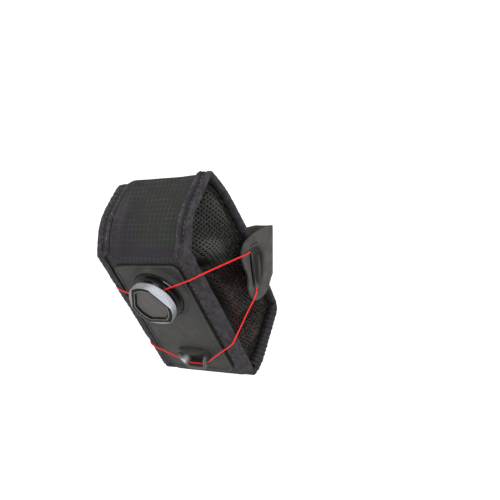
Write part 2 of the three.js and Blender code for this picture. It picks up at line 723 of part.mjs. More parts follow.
/** Turns a side outline of forward and rise rows into a plate between two places across. */
function sidePlate(points, fromX, toX, bevel = 0) {
  return prism(points.map((p) => new THREE.Vector2(p.x, p.y)), toX - fromX, bevel)
    .applyMatrix4(new THREE.Matrix4().makeBasis(
      new THREE.Vector3(0, 1, 0),
      new THREE.Vector3(0, 0, 1),
      new THREE.Vector3(1, 0, 0),
    ))
    .translate(fromX, 0, 0);
}

/** Outline of the guide in a tab, moved outward by offset. */
function tabGuideOutline(offset) {
  const corners = TAB_GUIDE.map(({ forward, rise, round }) => ({ at: new THREE.Vector2(forward, rise), round }));
  return roundedOutline(corners.reverse(), offset, CORNER_STEPS);
}

/** The right wing: a seam on the top panel, a strip round the rail and the tab outside it. */
function wing(laceCut) {
  const [seamEnd, rail, tab] = WING_STRIP;
  const middle = LOOP_RADIUS + WING_THICK / 2;
  const arc = Array.from({ length: LOOP_STEPS + 1 }, (_, k) => {
    const share = k / LOOP_STEPS;
    const angle = Math.PI * (1 - share);
    return {
      across: new THREE.Vector2(Math.cos(angle), Math.sin(angle)),
      at: new THREE.Vector2(RAIL_X, 0).addScaledVector(new THREE.Vector2(Math.cos(angle), Math.sin(angle)), middle),
      low: THREE.MathUtils.lerp(rail.low, tab.low, share * share),
      high: THREE.MathUtils.lerp(rail.high, tab.high, share),
    };
  });
  const start = { across: new THREE.Vector2(-1, 0), at: new THREE.Vector2(RAIL_X - middle, WING_SEAM.y), ...seamEnd };
  const finish = { across: new THREE.Vector2(1, 0), at: new THREE.Vector2(RAIL_X + middle, WING_TAB_JOIN), ...tab };
  const strip = [start, ...arc, finish].map(({ across, at, low, high }) => {
    const inner = at.clone().addScaledVector(across, -WING_THICK / 2);
    const outer = at.clone().addScaledVector(across, WING_THICK / 2);
    return [
      new THREE.Vector3(inner.x, inner.y, low),
      new THREE.Vector3(outer.x, outer.y, low),
      new THREE.Vector3(outer.x, outer.y, high),
      new THREE.Vector3(inner.x, inner.y, high),
    ];
  });
  const tabX = RAIL_X + LOOP_RADIUS;
  const curve = new THREE.SplineCurve(TAB_OUTLINE.map(({ forward, rise }) => new THREE.Vector2(forward, rise)));
  const outline = [new THREE.Vector2(0, tab.high), ...curve.getPoints(TAB_OUTLINE_STEPS), new THREE.Vector2(0, tab.low)];
  const plate = sidePlate(outline.reverse(), tabX, tabX + WING_THICK);
  const window = sidePlate(tabGuideOutline(WINDOW_SLIT), tabX - 1, tabX + WING_THICK + 1);
  return toGeometry(toSolid(solidFromRings(strip))
    .add(toSolid(plate))
    .add(toSolid(wingSeam()))
    .subtract(toSolid(window))
    .subtract(laceCut));
}

/** The part of the wing that is sewn flat on the top panel. */
function wingSeam() {
  const crest = PROFILE.find((row) => row.name === 'crest');
  const brow = PROFILE.find((row) => row.name === 'brow');
  const panel = new THREE.Vector2(brow.down - crest.down, brow.up - crest.up);
  const away = new THREE.Vector2(-panel.y, panel.x).normalize();
  const at = (share, lift) => new THREE.Vector2(crest.down, crest.up)
    .addScaledVector(panel, share)
    .addScaledVector(away, lift);
  const lifts = [FIT_GAP, FIT_GAP + WING_THICK];
  const { x, fromShare, toShare } = WING_SEAM;
  const section = [
    at(fromShare, lifts[0]), at(toShare, lifts[0]), at(toShare, lifts[1]), at(fromShare, lifts[1]),
  ];
  const ringAt = (across) => section.map((p) => upright(across, p.x, p.y));
  return solidFromRings([ringAt(x), ringAt(RAIL_X - LOOP_RADIUS)]);
}

/** The lace guide in the right tab: a dished plate with a tunnel for the lace. */
function tabGuide(laceCut) {
  const plate = sidePlate(tabGuideOutline(0), GUIDE_INSIDE, GUIDE_OUTSIDE, GUIDE_BEVEL);
  const oval = new THREE.EllipseCurve(
    GUIDE_DISH.forward,
    GUIDE_DISH.rise,
    GUIDE_DISH.halfForward,
    GUIDE_DISH.halfRise,
    0,
    2 * Math.PI,
    false,
    GUIDE_DISH.turn,
  );
  const dish = sidePlate(oval.getPoints(GUIDE_DISH.steps).slice(1), GUIDE_OUTSIDE - GUIDE_DISH.depth, GUIDE_OUTSIDE + 1);
  return toGeometry(toSolid(plate).subtract(toSolid(dish)).subtract(laceCut));
}

// Assembly

const FINISHES = {
  ripstop: { color: 0x232026, roughness: 0.75, metalness: 0 },
  redCloth: { color: 0xb3202c, roughness: 0.8, metalness: 0 },
  mesh: { color: 0x1f201e, roughness: 0.8, metalness: 0 },
  tape: { color: 0x2f2a31, roughness: 0.85, metalness: 0 },
  coated: { color: 0x3b3a38, roughness: 0.6, metalness: 0 },
  blackPlastic: { color: 0x121213, roughness: 0.3, metalness: 0 },
  greyPlastic: { color: 0xb9bac2, roughness: 0.45, metalness: 0 },
  gunmetal: { color: 0x6d6b68, roughness: 0.35, metalness: 0.9 },
  lace: { color: 0xe02a22, roughness: 0.5, metalness: 0 },
};

/** A named piece with its own material. */
function piece(name, geometry, finish) {
  const mesh = new THREE.Mesh(geometry, new THREE.MeshStandardMaterial(FINISHES[finish]));
  mesh.name = name;
  return mesh;
}

const seatPack = new THREE.Group();

const pack = new THREE.Group();
pack.position.copy(RIDGE_PLACE);
pack.rotation.x = -HANG_SLOPE;
seatPack.add(pack);

const base = new THREE.Group();
base.rotation.x = Math.PI;
pack.add(base);

const dial = new THREE.Group();
dial.position.y = -DIAL_DOWN;
base.add(dial);

seatPack.updateMatrixWorld(true);
const tunnel = laceBar(TUNNEL_RADIUS);
const tunnelIn = (group) => toSolid(tunnel.clone().applyMatrix4(group.matrixWorld.clone().invert()));

const liningOutside = -WRAP_THICK - FIT_GAP;
const mesh = meshSide();
const gather = frontGather();
pack.add(
  piece('body_wrap', clothBand(0, -WRAP_THICK, WRAP_HALF_WIDTH), 'ripstop'),
  piece('lining', clothBand(liningOutside, liningOutside - LINING_THICK, LINING_HALF_WIDTH), 'redCloth'),
  piece('side_mesh_right', mesh, 'mesh'),
  piece('side_mesh_left', mirrored(mesh), 'mesh'),
  piece('binding_right', edgeTape(TAPE_BASE_LEG.right), 'tape'),
  piece('binding_left', mirrored(edgeTape(TAPE_BASE_LEG.left)), 'tape'),
  piece('front_gather_right', gather, 'tape'),
  piece('front_gather_left', mirrored(gather), 'tape'),
);

base.add(
  piece('base_pad', basePad(), 'coated'),
  piece('lace_guide', laceGuide(tunnelIn(base)), 'gunmetal'),
);

dial.add(
  piece('dial_base', dialBase(tunnelIn(dial)), 'blackPlastic'),
  piece('dial_hub', dialHub(), 'blackPlastic'),
  piece('dial_grip', dialGrip(), 'greyPlastic'),
  piece('dial_cap', dialCap(), 'blackPlastic'),
);

const wingShape = wing(toSolid(tunnel));
const tabGuideShape = tabGuide(toSolid(tunnel));
seatPack.add(
  piece('wing_right', wingShape, 'coated'),
  piece('wing_left', mirrored(wingShape), 'coated'),
  piece('wing_guide_right', tabGuideShape, 'coated'),
  piece('wing_guide_left', mirrored(tabGuideShape), 'coated'),
  piece('lace', laceBar(LACE_RADIUS), 'lace'),
);

export default seatPack;
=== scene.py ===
"""Looks of a bike seat pack: a cloth pack that hangs by two loops, drawn tight by a dial and a lace.

Shapes are worked out in millimetres. The pack's own axes are x across, down along the base from
the ridge, and up away from the base. A piece is made in metres in the upright frame.
"""

from __future__ import annotations

import logging
import math
from collections.abc import Sequence
from dataclasses import dataclass
from enum import Enum
from functools import cached_property

import bmesh
import bpy
import numpy as np
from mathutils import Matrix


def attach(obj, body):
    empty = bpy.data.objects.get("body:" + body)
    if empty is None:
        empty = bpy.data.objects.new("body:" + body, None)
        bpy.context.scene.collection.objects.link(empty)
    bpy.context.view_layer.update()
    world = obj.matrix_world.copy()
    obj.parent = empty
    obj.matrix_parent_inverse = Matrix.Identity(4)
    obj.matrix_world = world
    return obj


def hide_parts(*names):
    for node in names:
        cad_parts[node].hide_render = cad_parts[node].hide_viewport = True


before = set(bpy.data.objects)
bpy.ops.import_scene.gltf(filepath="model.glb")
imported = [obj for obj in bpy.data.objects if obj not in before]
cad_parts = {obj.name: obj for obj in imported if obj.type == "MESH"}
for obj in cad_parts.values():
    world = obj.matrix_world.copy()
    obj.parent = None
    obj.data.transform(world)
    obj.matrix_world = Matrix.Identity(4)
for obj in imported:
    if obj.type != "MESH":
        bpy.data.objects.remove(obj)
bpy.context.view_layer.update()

LOG = logging.getLogger("seat_pack")
Array = np.ndarray
Material = bpy.types.Material
Pair = tuple[float, float]
Triple = tuple[float, float, float]
Colour = tuple[float, float, float]

METRE = 1000.0
HANG_SLOPE = math.radians(48.9)
RIDGE_PLACE = np.array([0.0, -77.0, -2.0])
WEAVE_MAP = "weave"


class Side(Enum):
    """The two sides of the pack, as the sign of x."""

    RIGHT = 1
    LEFT = -1

    @property
    def word(self) -> str:
        """The side's word in a piece's name."""
        return self.name.lower()


def upright(places: Array) -> Array:
    """Turns places of x, down and up in the pack's own axes into the upright frame."""
    x, down, up = np.moveaxis(np.asarray(places, float), -1, 0)
    cos, sin = math.cos(HANG_SLOPE), math.sin(HANG_SLOPE)
    return np.stack([x, down * cos + up * sin, up * cos - down * sin], -1) + RIDGE_PLACE


def on_base(places: Array) -> Array:
    """Turns places of x, rise up the slope from the ridge and lift off the base into the upright frame."""
    x, rise, lift = np.moveaxis(np.asarray(places, float), -1, 0)
    return upright(np.stack([x, -rise, -lift], -1))


def smoothstep(value: Array | float, low: float, high: float) -> Array:
    """A smooth step from 0 at low to 1 at high."""
    share = np.clip((np.asarray(value, float) - low) / (high - low), 0, 1)
    return share * share * (3 - 2 * share)


def wander(along: Array, seed: float) -> Array:
    """A smooth wandering value between about -1 and 1 along a length."""
    slow = np.sin(along + seed)
    middle = np.sin(2.3 * along + 1.7 * seed)
    quick = np.sin(4.1 * along + 2.9 * seed)
    return 0.5 * slow + 0.3 * middle + 0.2 * quick


def unit(vectors: Array) -> Array:
    """Vectors of length one along the last axis."""
    return vectors / np.maximum(np.linalg.norm(vectors, axis=-1, keepdims=True), 1e-9)


def between(value: Array | float, rise: Pair, fall: Pair) -> Array:
    """A soft plateau: 1 between a rising and a falling step, 0 outside them."""
    return smoothstep(value, *rise) * (1 - smoothstep(value, *fall))


def bell(distance: Array, width: float) -> Array:
    """A soft bump, 1 at no distance and nearly 0 past twice its width."""
    return np.exp(-(distance / width) ** 2)


def full_turn(count: int) -> Array:
    """Even directions round a full turn, in radians."""
    return np.linspace(0, 2 * math.pi, count, endpoint=False)


def travel(points: Array) -> Array:
    """The length along a path at each of its points."""
    steps = np.linalg.norm(np.diff(points, axis=0), axis=1)
    return np.concatenate([[0.0], np.cumsum(steps)])


def read_along(rows: Array, length: Array, at: Array | float) -> Array:
    """Rows of values along a path, read at other lengths."""
    return np.stack([np.interp(at, length, column) for column in rows.T], -1)


def shade_map(shade: Array) -> Array:
    """A cloth coordinate that carries a shade, closed by its first column."""
    closed = np.concatenate([shade, shade[..., :1]], -1)
    return np.stack([closed, np.zeros_like(closed)], -1)


def spline(points: Array, steps: int, tension: float = 0.5) -> Array:
    """A smooth curve through points.

    Args:
        points: The points that the curve passes.
        steps: The number of steps between two points.
        tension: The power of each gap that spaces the knots, 0 for even knots.

    Returns:
        The points of the curve, with both ends.
    """
    points = np.asarray(points, float)
    padded = np.concatenate([[2 * points[0] - points[1]], points, [2 * points[-1] - points[-2]]])
    gaps = np.linalg.norm(np.diff(padded, axis=0), axis=1) ** tension
    knots = np.concatenate([[0.0], np.cumsum(gaps)])
    out = []
    for i in range(len(points) - 1):
        p, k = padded[i:i + 4], knots[i:i + 4]
        t = np.linspace(k[1], k[2], steps, endpoint=False)[:, None]
        first = [(p[j] * (k[j + 1] - t) + p[j + 1] * (t - k[j])) / (k[j + 1] - k[j]) for j in range(3)]
        second = [
            (first[j] * (k[j + 2] - t) + first[j + 1] * (t - k[j])) / (k[j + 2] - k[j])
            for j in range(2)
        ]
        out.append((second[0] * (k[2] - t) + second[1] * (t - k[1])) / (k[2] - k[1]))
    return np.concatenate([*out, points[-1:]])


def rounded(corners: Sequence[Triple], steps: int, closed: bool = True) -> Array:
    """An outline with rounded corners.

    Args:
        corners: Rows of two coordinates and the corner's radius.
        steps: The number of points in each corner.
        closed: Whether the last corner joins the first.

    Returns:
        The outline's points.
    """
    rows = np.asarray(corners, float)
    places, count = rows[:, :2], len(rows)
    share = np.linspace(0, 1, steps)[:, None]
    arcs = []
    for i, (place, radius) in enumerate(zip(places, rows[:, 2])):
        if not closed and i in (0, count - 1):
            arcs.append(place[None])
            continue
        toward = unit(places[i - 1] - place)
        away = unit(places[(i + 1) % count] - place)
        turn = math.pi - math.acos(float(np.clip(toward @ away, -1, 1)))
        reach = radius * math.tan(turn / 2)
        start, end = place + toward * reach, place + away * reach
        arcs.append((1 - share) ** 2 * start + 2 * share * (1 - share) * place + share ** 2 * end)
    return np.concatenate(arcs)


def reach_of(outline: Array, centre: Array, angles: Array) -> Array:
    """How far an outline lies from a centre inside it, in each direction.

    Args:
        outline: The points of a closed outline.
        centre: A point that sees all of the outline.
        angles: The directions, in radians.

    Returns:
        One distance for each direction.
    """
    start = outline - centre
    edge = np.roll(start, -1, axis=0) - start
    ray = np.stack([np.cos(angles), np.sin(angles)], -1)
    cross = ray[:, None, 0] * edge[None, :, 1] - ray[:, None, 1] * edge[None, :, 0]
    cross = np.where(np.abs(cross) < 1e-9, 1e-9, cross)
    away = (start[None, :, 0] * edge[None, :, 1] - start[None, :, 1] * edge[None, :, 0]) / cross
    share = (start[None, :, 0] * ray[:, None, 1] - start[None, :, 1] * ray[:, None, 0]) / cross
    hit = (away > 0) & (share >= -1e-6) & (share <= 1 + 1e-6)
    return np.where(hit, away, -1.0).max(1)


@dataclass
class Patch:
    """A grid of places that becomes faces of a piece.

    Attributes:
        places: Rows by columns by three, in millimetres in the upright frame.
        weave: The cloth coordinate of each place, with one more row or column where it closes.
        close_rows: Whether the last row joins the first.
        close_cols: Whether the last column joins the first.
        cap_ends: Whether a face closes the first and the last row.
        finish: The index of the patch's material.
    """

    places: Array
    weave: Array | None = None
    close_rows: bool = False
    close_cols: bool = False
    cap_ends: bool = False
    finish: int = 0

    def faces(self) -> tuple[list[list[int]], Array]:
        """The patch's faces.

        Returns:
            The faces as vertex numbers, and the cloth coordinate of each of their corners.
        """
        rows, cols = self.places.shape[:2]
        i, j = np.meshgrid(
            np.arange(rows if self.close_rows else rows - 1),
            np.arange(cols if self.close_cols else cols - 1),
            indexing="ij",
        )
        corners = [(i, j), (i, j + 1), (i + 1, j + 1), (i + 1, j)]
        quads = np.stack([(a % rows) * cols + b % cols for a, b in corners], -1).reshape(-1, 4)
        faces = quads.tolist()
        weave = np.zeros((rows + 1, cols + 1, 2)) if self.weave is None else self.weave
        loops = [np.stack([weave[a, b] for a, b in corners], -2).reshape(-1, 2)]
        if self.cap_ends:
            last = (rows - 1) * cols
            faces.append(list(range(cols))[::-1])
            faces.append(list(range(last, last + cols)))
            loops += [weave[0, :cols][::-1], weave[rows - 1, :cols]]
        return faces, np.concatenate(loops)


def put_in_scene(name: str, data: bpy.types.ID) -> bpy.types.Object:
    """Makes an object for a mesh, a lamp or a camera and links it to the scene."""
    made = bpy.data.objects.new(name, data)
    bpy.context.scene.collection.objects.link(made)
    return made


class PieceBuilder:
    """Gathers patches into one mesh object."""

    def __init__(self, name: str) -> None:
        """Starts an empty piece with a name."""
        self.name = name
        self.places: list[Array] = []
        self.faces: list[list[int]] = []
        self.loops: list[Array] = []
        self.finishes: list[int] = []
        self.count = 0

    def add(self, *patches: Patch) -> PieceBuilder:
        """Adds patches and returns the builder itself."""
        for patch in patches:
            faces, loops = patch.faces()
            self.faces += [[index + self.count for index in face] for face in faces]
            self.loops.append(loops)
            self.finishes += [patch.finish] * len(faces)
            flat = patch.places.reshape(-1, 3)
            self.places.append(flat)
            self.count += len(flat)
        return self

    def build(
        self, materials: Sequence[Material], sharp_degrees: float = 42.0, weld: float = 0.0
    ) -> bpy.types.Object:
        """Makes the mesh object.

        Args:
            materials: The piece's materials, in the order of the patches' finish numbers.
            sharp_degrees: The angle above which an edge stays sharp.
            weld: The distance in millimetres under which vertices are joined, or 0.

        Returns:
            The new object.
        """
        mesh = bpy.data.meshes.new(self.name)
        mesh.from_pydata((np.concatenate(self.places) / METRE).tolist(), [], self.faces)
        layer = mesh.uv_layers.new(name=WEAVE_MAP)
        layer.data.foreach_set("uv", np.concatenate(self.loops).astype(np.float32).ravel())
        mesh.polygons.foreach_set("material_index", np.array(self.finishes, np.int32))
        shape = bmesh.new()
        shape.from_mesh(mesh)
        if weld:
            bmesh.ops.remove_doubles(shape, verts=shape.verts, dist=weld / METRE)
        bmesh.ops.recalc_face_normals(shape, faces=shape.faces)
        shape.to_mesh(mesh)
        shape.free()
        for material in materials:
            mesh.materials.append(material)
        mesh.shade_smooth()
        mesh.set_sharp_from_angle(angle=math.radians(sharp_degrees))
        return put_in_scene(self.name, mesh)


def settle(piece: bpy.types.Object, body: str, slot: str, *nodes: str) -> None:
    """Sets a piece on its body and hides the solids that it stands for.

    Args:
        piece: The finished piece.
        body: The body that it rides on.
        slot: Not used.
        nodes: The solids that it replaces.
    """
    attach(piece, body)
    if nodes:
        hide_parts(*nodes)
    LOG.info("%s rides on %s, %d faces", piece.name, body, len(piece.data.polygons))


class Wire:
    """A socket of a shader that takes part in Python expressions."""

    def __init__(self, paint: Paint, socket: bpy.types.NodeSocket) -> None:
        """Wraps an output socket."""
        self.paint = paint
        self.socket = socket

    def math(self, operation: str, left: Wire | float, right: Wire | float = 0.0) -> Wire:
        """Adds a Math node and returns its result."""
        return self.paint.node("ShaderNodeMath", {"operation": operation}, {0: left, 1: right})

    def __add__(self, other: Wire | float) -> Wire:
        """Sum of two values."""
        return self.math("ADD", self, other)

    def __sub__(self, other: Wire | float) -> Wire:
        """Difference of two values."""
        return self.math("SUBTRACT", self, other)

    def __rsub__(self, other: float) -> Wire:
        """Difference of a number and a value."""
        return self.math("SUBTRACT", other, self)

    def __mul__(self, other: Wire | float) -> Wire:
        """Product of two values."""
        return self.math("MULTIPLY", self, other)

    def __truediv__(self, other: Wire | float) -> Wire:
        """Quotient of two values."""
        return self.math("DIVIDE", self, other)

    def highest(self, other: Wire | float) -> Wire:
        """The larger of two values."""
        return self.math("MAXIMUM", self, other)

    def absolute(self) -> Wire:
        """The value without its sign."""
        return self.math("ABSOLUTE", self)

    def wave(self, pitch: float) -> Wire:
        """A wave between 0 and 1 that repeats at a pitch."""
        return self.math("SINE", self * (2 * math.pi / pitch)) * 0.5 + 0.5

    def lines(self, pitch: float, width: float) -> Wire:
        """A mask of thin soft lines at a pitch."""
        away = (self.math("FRACT", self / pitch) - 0.5).absolute()
        return away.step(0.5 - width / pitch, 0.5)

    def step(self, low: float, high: float) -> Wire:
        """A smooth step from 0 at low to 1 at high."""
        settings = {"interpolation_type": "SMOOTHSTEP"}
        return self.paint.node("ShaderNodeMapRange", settings, {0: self, 1: low, 2: high})

    def between(self, rise: Pair, fall: Pair) -> Wire:
        """A soft plateau: 1 between a rising and a falling step, 0 outside them."""
        return self.step(*rise) * (1 - self.step(*fall))


class Paint:
    """Builds one material from nodes."""

    def __init__(self, name: str) -> None:
        """Starts a material with a bare shader."""
        self.material = bpy.data.materials.new(name)
        self.material.use_nodes = True
        self.tree = self.material.node_tree
        self.tree.nodes.clear()
        self.shader = self.tree.nodes.new("ShaderNodeBsdfPrincipled")
        output = self.tree.nodes.new("ShaderNodeOutputMaterial")
        self.tree.links.new(self.shader.outputs[0], output.inputs[0])

    def node(
        self,
        kind: str,
        settings: dict[str, object] | None = None,
        values: dict[int | str, object] | None = None,
        output: int | str = 0,
    ) -> Wire:
        """Adds a node.

        Args:
            kind: The node's type.
            settings: Values of the node's own properties, set first.
            values: Numbers, colours or wires for its inputs.
            output: The output that is wanted.

        Returns:
            A wire on that output.
        """
        made = self.tree.nodes.new(kind)
        for key, value in (settings or {}).items():
            setattr(made, key, value)
        for key, value in (values or {}).items():
            self.feed(made.inputs[key], value)
        return Wire(self, made.outputs[output])

    def feed(self, socket: bpy.types.NodeSocket, value: object) -> None:
        """Links a wire to a socket or sets its value."""
        if isinstance(value, Wire):
            self.tree.links.new(value.socket, socket)
        else:
            socket.default_value = value

    def weave(self) -> tuple[Wire, Wire]:
        """The two cloth coordinates, in millimetres."""
        place = self.node("ShaderNodeUVMap", {"uv_map": WEAVE_MAP})
        parts = [self.node("ShaderNodeSeparateXYZ", None, {0: place}, axis) for axis in (0, 1)]
        return parts[0], parts[1]

    def noise(self, size: float, detail: float) -> Wire:
        """A cloudy value from about 0 to 1, with clouds of a size in millimetres."""
        place = self.node("ShaderNodeTexCoord", None, None, "Object")
        values = {"Vector": place, "Scale": METRE / size, "Detail": detail}
        return self.node("ShaderNodeTexNoise", None, values)

    @staticmethod
    def opaque(colour: Wire | Colour) -> object:
        """A colour ready for a socket: a wire as it is, or a colour with full alpha."""
        return colour if isinstance(colour, Wire) else (*colour, 1.0)

    def mix(self, share: Wire | float, first: Wire | Colour, second: Wire | Colour) -> Wire:
        """A colour between two others."""
        values = {0: share, 6: self.opaque(first), 7: self.opaque(second)}
        return self.node("ShaderNodeMix", {"data_type": "RGBA"}, values, 2)

    def bump(self, height: Wire, depth: float) -> None:
        """Bends the light as relief of a depth in millimetres would."""
        values = {"Strength": 1.0, "Distance": depth / METRE, "Height": height}
        self.feed(self.shader.inputs["Normal"], self.node("ShaderNodeBump", None, values))

    def done(self, colour: Wire | Colour, roughness: Wire | float, **constants: object) -> Material:
        """Sets the shader's inputs.

        Args:
            colour: The base colour.
            roughness: The roughness.
            constants: Other inputs by name, with underscores for spaces.

        Returns:
            The finished material.
        """
        self.feed(self.shader.inputs["Base Color"], self.opaque(colour))
        self.feed(self.shader.inputs["Roughness"], roughness)
        for key, value in constants.items():
            self.feed(self.shader.inputs[key.replace("_", " ")], value)
        return self.material


@dataclass(frozen=True)
class Cloud:
    """Clouds of a size in millimetres; a mask of them starts at one value and is full at another."""

    size: float
    detail: float = 2.0
    start: float = 0.0
    full: float = 1.0
    share: float = 1.0

    def value(self, paint: Paint) -> Wire:
        """The cloudy value itself."""
        return paint.noise(self.size, self.detail) * self.share

    def mask(self, paint: Paint) -> Wire:
        """The mask of the clouds."""
        return paint.noise(self.size, self.detail).step(self.start, self.full) * self.share


@dataclass(frozen=True)
class Ripstop:
    """Thin woven cloth with a grid of thicker threads, plain along its hem by the ridge."""

    plum: Colour = (0.0140, 0.0112, 0.0155)
    moss: Colour = (0.0122, 0.0138, 0.0112)
    thread: Colour = (0.036, 0.038, 0.032)
    tone: Cloud = Cloud(30, 2, 0.36, 0.6)
    wear: Cloud = Cloud(9, 3, 0.3, 0.75, 0.75)
    crumple: Cloud = Cloud(5, 3, share=0.6)
    hem: Pair = (3.5, 6.5)
    grid_pitch: float = 3.05
    grid_width: float = 0.42
    grid_least: float = 0.15
    weave_pitch: float = 0.55
    weave_height: float = 0.4
    grid_height: float = 0.8
    relief: float = 0.16
    roughness: float = 0.55
    shine: float = 0.16

    def make(self) -> Material:
        """Makes the material."""
        paint = Paint("ripstop")
        across, along = paint.weave()
        lines = [way.lines(self.grid_pitch, self.grid_width) for way in (across, along)]
        grid = lines[0].highest(lines[1])
        past_hem = (float(SHAPE.lengths()[-1]) - along).step(*self.hem)
        shade = paint.mix(self.tone.mask(paint) * past_hem, self.plum, self.moss)
        shown = grid * (self.wear.mask(paint) + self.grid_least) * past_hem
        colour = paint.mix(shown, shade, self.thread)
        cloth = across.wave(self.weave_pitch) * along.wave(self.weave_pitch)
        height = cloth * self.weave_height + grid * self.grid_height
        paint.bump(height + self.crumple.value(paint), self.relief)
        return paint.done(colour, self.roughness, Specular_IOR_Level=self.shine)


@dataclass(frozen=True)
class RedCloth:
    """Plain red cloth, with painted shade in place of the red outside one stretch of the profile."""

    red: Colour = (0.92, 0.03, 0.045)
    # painted shade: the colour outside the red stretch, standing in for the shaded inside of the pack
    dark: Colour = (0.02, 0.02, 0.02)
    red_from: Pair = (108.0, 116.0)
    red_to: Pair = (176.0, 184.0)
    weave_pitch: float = 0.7
    relief: float = 0.1
    roughness: float = 0.7
    sheen: float = 0.1

    def make(self) -> Material:
        """Makes the material."""
        paint = Paint("red_lining")
        across, along = paint.weave()
        # red on one stretch of the profile, painted shade elsewhere
        colour = paint.mix(along.between(self.red_from, self.red_to), self.dark, self.red)
        paint.bump(across.wave(self.weave_pitch) * along.wave(self.weave_pitch), self.relief)
        return paint.done(colour, self.roughness, Sheen_Weight=self.sheen)


@dataclass(frozen=True)
class Tape:
    """Woven edge tape with a twill line and rubbed places, with painted shade along its sewn groove above
    the ridge.
    """

    low: Colour = (0.010, 0.0085, 0.0108)
    high: Colour = (0.043, 0.038, 0.044)
    # painted shade: the dark colour laid along the sewn groove
    sewn: Colour = (0.003, 0.0025, 0.003)
    groove_shade_share: float = 0.8
    sewn_at: float = 4.0
    sewn_fade: Pair = (0.78, 2.6)
    seam_fade: float = 6.0
    rub: Cloud = Cloud(3.2, 4, 0.3, 0.78, 0.75)
    twill_pitch: float = 0.9
    twill_share: float = 0.2
    twill_height: float = 0.5
    fuzz: Cloud = Cloud(1.6, 3, share=1.2)
    relief: float = 0.22
    roughness: float = 0.65
    shine: float = 0.16

    def make(self) -> Material:
        """Makes the material."""
        paint = Paint("edge_tape")
        across, along = paint.weave()
        twill = (across + along).wave(self.twill_pitch)
        away = (across - self.sewn_at).absolute()
        panel = EdgeTape.run(Side.RIGHT, SHAPE.end("brow"), SHAPE.start("ridge"))
        panel_end = float(travel(panel[:, :2])[-1])
        above = 1 - along.step(panel_end - self.seam_fade, panel_end)
        # painted shade along the sewn groove, only on the panel above the ridge
        groove = (1 - away.step(*self.sewn_fade)) * above
        cloth = paint.mix(self.rub.mask(paint) + twill * self.twill_share, self.low, self.high)
        colour = paint.mix(groove * self.groove_shade_share, cloth, self.sewn)
        paint.bump(twill * self.twill_height + self.fuzz.value(paint), self.relief)
        return paint.done(colour, self.roughness, Specular_IOR_Level=self.shine)


@dataclass(frozen=True)
class GatheredTape:
    """Woven tape drawn into pleats and rubbed in places, with a painted highlight on the pleats' crests and
    painted shade between them.
    """

    low: Colour = (0.008, 0.0068, 0.0086)
    high: Colour = (0.023, 0.0196, 0.0238)
    valley: Colour = (0.003, 0.0025, 0.003)
    rub: Cloud = Cloud(3.2, 4, 0.3, 0.78, 0.4)
    crest: Pair = (0.6, 1.0)
    crest_highlight_share: float = 0.45
    slope: Pair = (0.2, 0.75)
    valley_shade_share: float = 0.6
    fuzz: Cloud = Cloud(1.6, 3)
    relief: float = 0.22
    roughness: float = 0.65
    shine: float = 0.16

    def make(self) -> Material:
        """Makes the material."""
        paint = Paint("gathered_tape")
        pleat, _ = paint.weave()
        # rubbed places from the cloud, plus a painted highlight on the pleats' crests
        rubbed = self.rub.mask(paint) + pleat.step(*self.crest) * self.crest_highlight_share
        cloth = paint.mix(rubbed, self.low, self.high)
        # painted shade between the pleats
        colour = paint.mix((1 - pleat.step(*self.slope)) * self.valley_shade_share, cloth, self.valley)
        paint.bump(self.fuzz.value(paint), self.relief)
        return paint.done(colour, self.roughness, Specular_IOR_Level=self.shine)


@dataclass(frozen=True)
class Net:
    """Black knitted mesh, with a painted highlight on its swells and painted shade in its hollows."""

    dark: Colour = (0.006, 0.007, 0.0055)
    light: Colour = (0.0195, 0.021, 0.0174)
    # painted highlight: the colour laid where the mesh swells outward
    raised: Colour = (0.054, 0.0558, 0.0477)
    # painted shade: the colour laid where the mesh sags into creases and hollows
    hollow: Colour = (0.0015, 0.0016, 0.0014)
    knit: Cloud = Cloud(2.2, 4, 0.35, 0.7)
    swell: Pair = (0.6, 3.6)
    swell_share: float = 0.5
    sag: Pair = (0.3, 2.6)
    sag_share: float = 0.95
    grain: Cloud = Cloud(0.5, 2)
    relief: float = 0.1
    roughness: float = 0.5
    shine: float = 0.12

    def make(self) -> Material:
        """Makes the material."""
        paint = Paint("mesh")
        push, _ = paint.weave()
        knit = paint.mix(self.knit.mask(paint), self.dark, self.light)
        # painted highlight where the mesh swells out, painted shade where it sags in
        with_highlight = paint.mix((push * -1.0).step(*self.swell) * self.swell_share, knit, self.raised)
        colour = paint.mix(push.step(*self.sag) * self.sag_share, with_highlight, self.hollow)
        paint.bump(self.grain.value(paint), self.relief)
        return paint.done(colour, self.roughness, Specular_IOR_Level=self.shine)


@dataclass(frozen=True)
class RubberPad:
    """Matt rubber coating with a fine grain and a cloudy film, with painted shade in the pocket and by the
    dial.
    """

    shaded: Colour = (0.007, 0.007, 0.0065)
    brown: Colour = (0.021, 0.019, 0.018)
    green: Colour = (0.0165, 0.0185, 0.015)
    film: Colour = (0.048, 0.050, 0.044)
    tone: Cloud = Cloud(20, 2, 0.35, 0.65)
    haze: Cloud = Cloud(7, 4, 0.5, 0.85, 0.45)
    shade_share: float = 0.75
    grain: Cloud = Cloud(0.7, share=0.7)
    swell: Cloud = Cloud(5, share=0.8)
    relief: float = 0.14
    gloss: Cloud = Cloud(11, 3, share=0.22)
    gloss_least: float = 0.42
    shine: float = 0.25

    def make(self) -> Material:
        """Makes the material."""
        paint = Paint("rubber_pad")
        shaded, _ = paint.weave()
        tone = paint.mix(self.tone.mask(paint), self.brown, self.green)
        filmed = paint.mix(self.haze.mask(paint), tone, self.film)
        # painted shade where the weave says: over the pocket's dome and next to the dial's housing
        colour = paint.mix(shaded * self.shade_share, filmed, self.shaded)
        paint.bump(self.grain.value(paint) + self.swell.value(paint), self.relief)
        roughness = self.gloss.value(paint) + self.gloss_least
        return paint.done(colour, roughness, Specular_IOR_Level=self.shine)


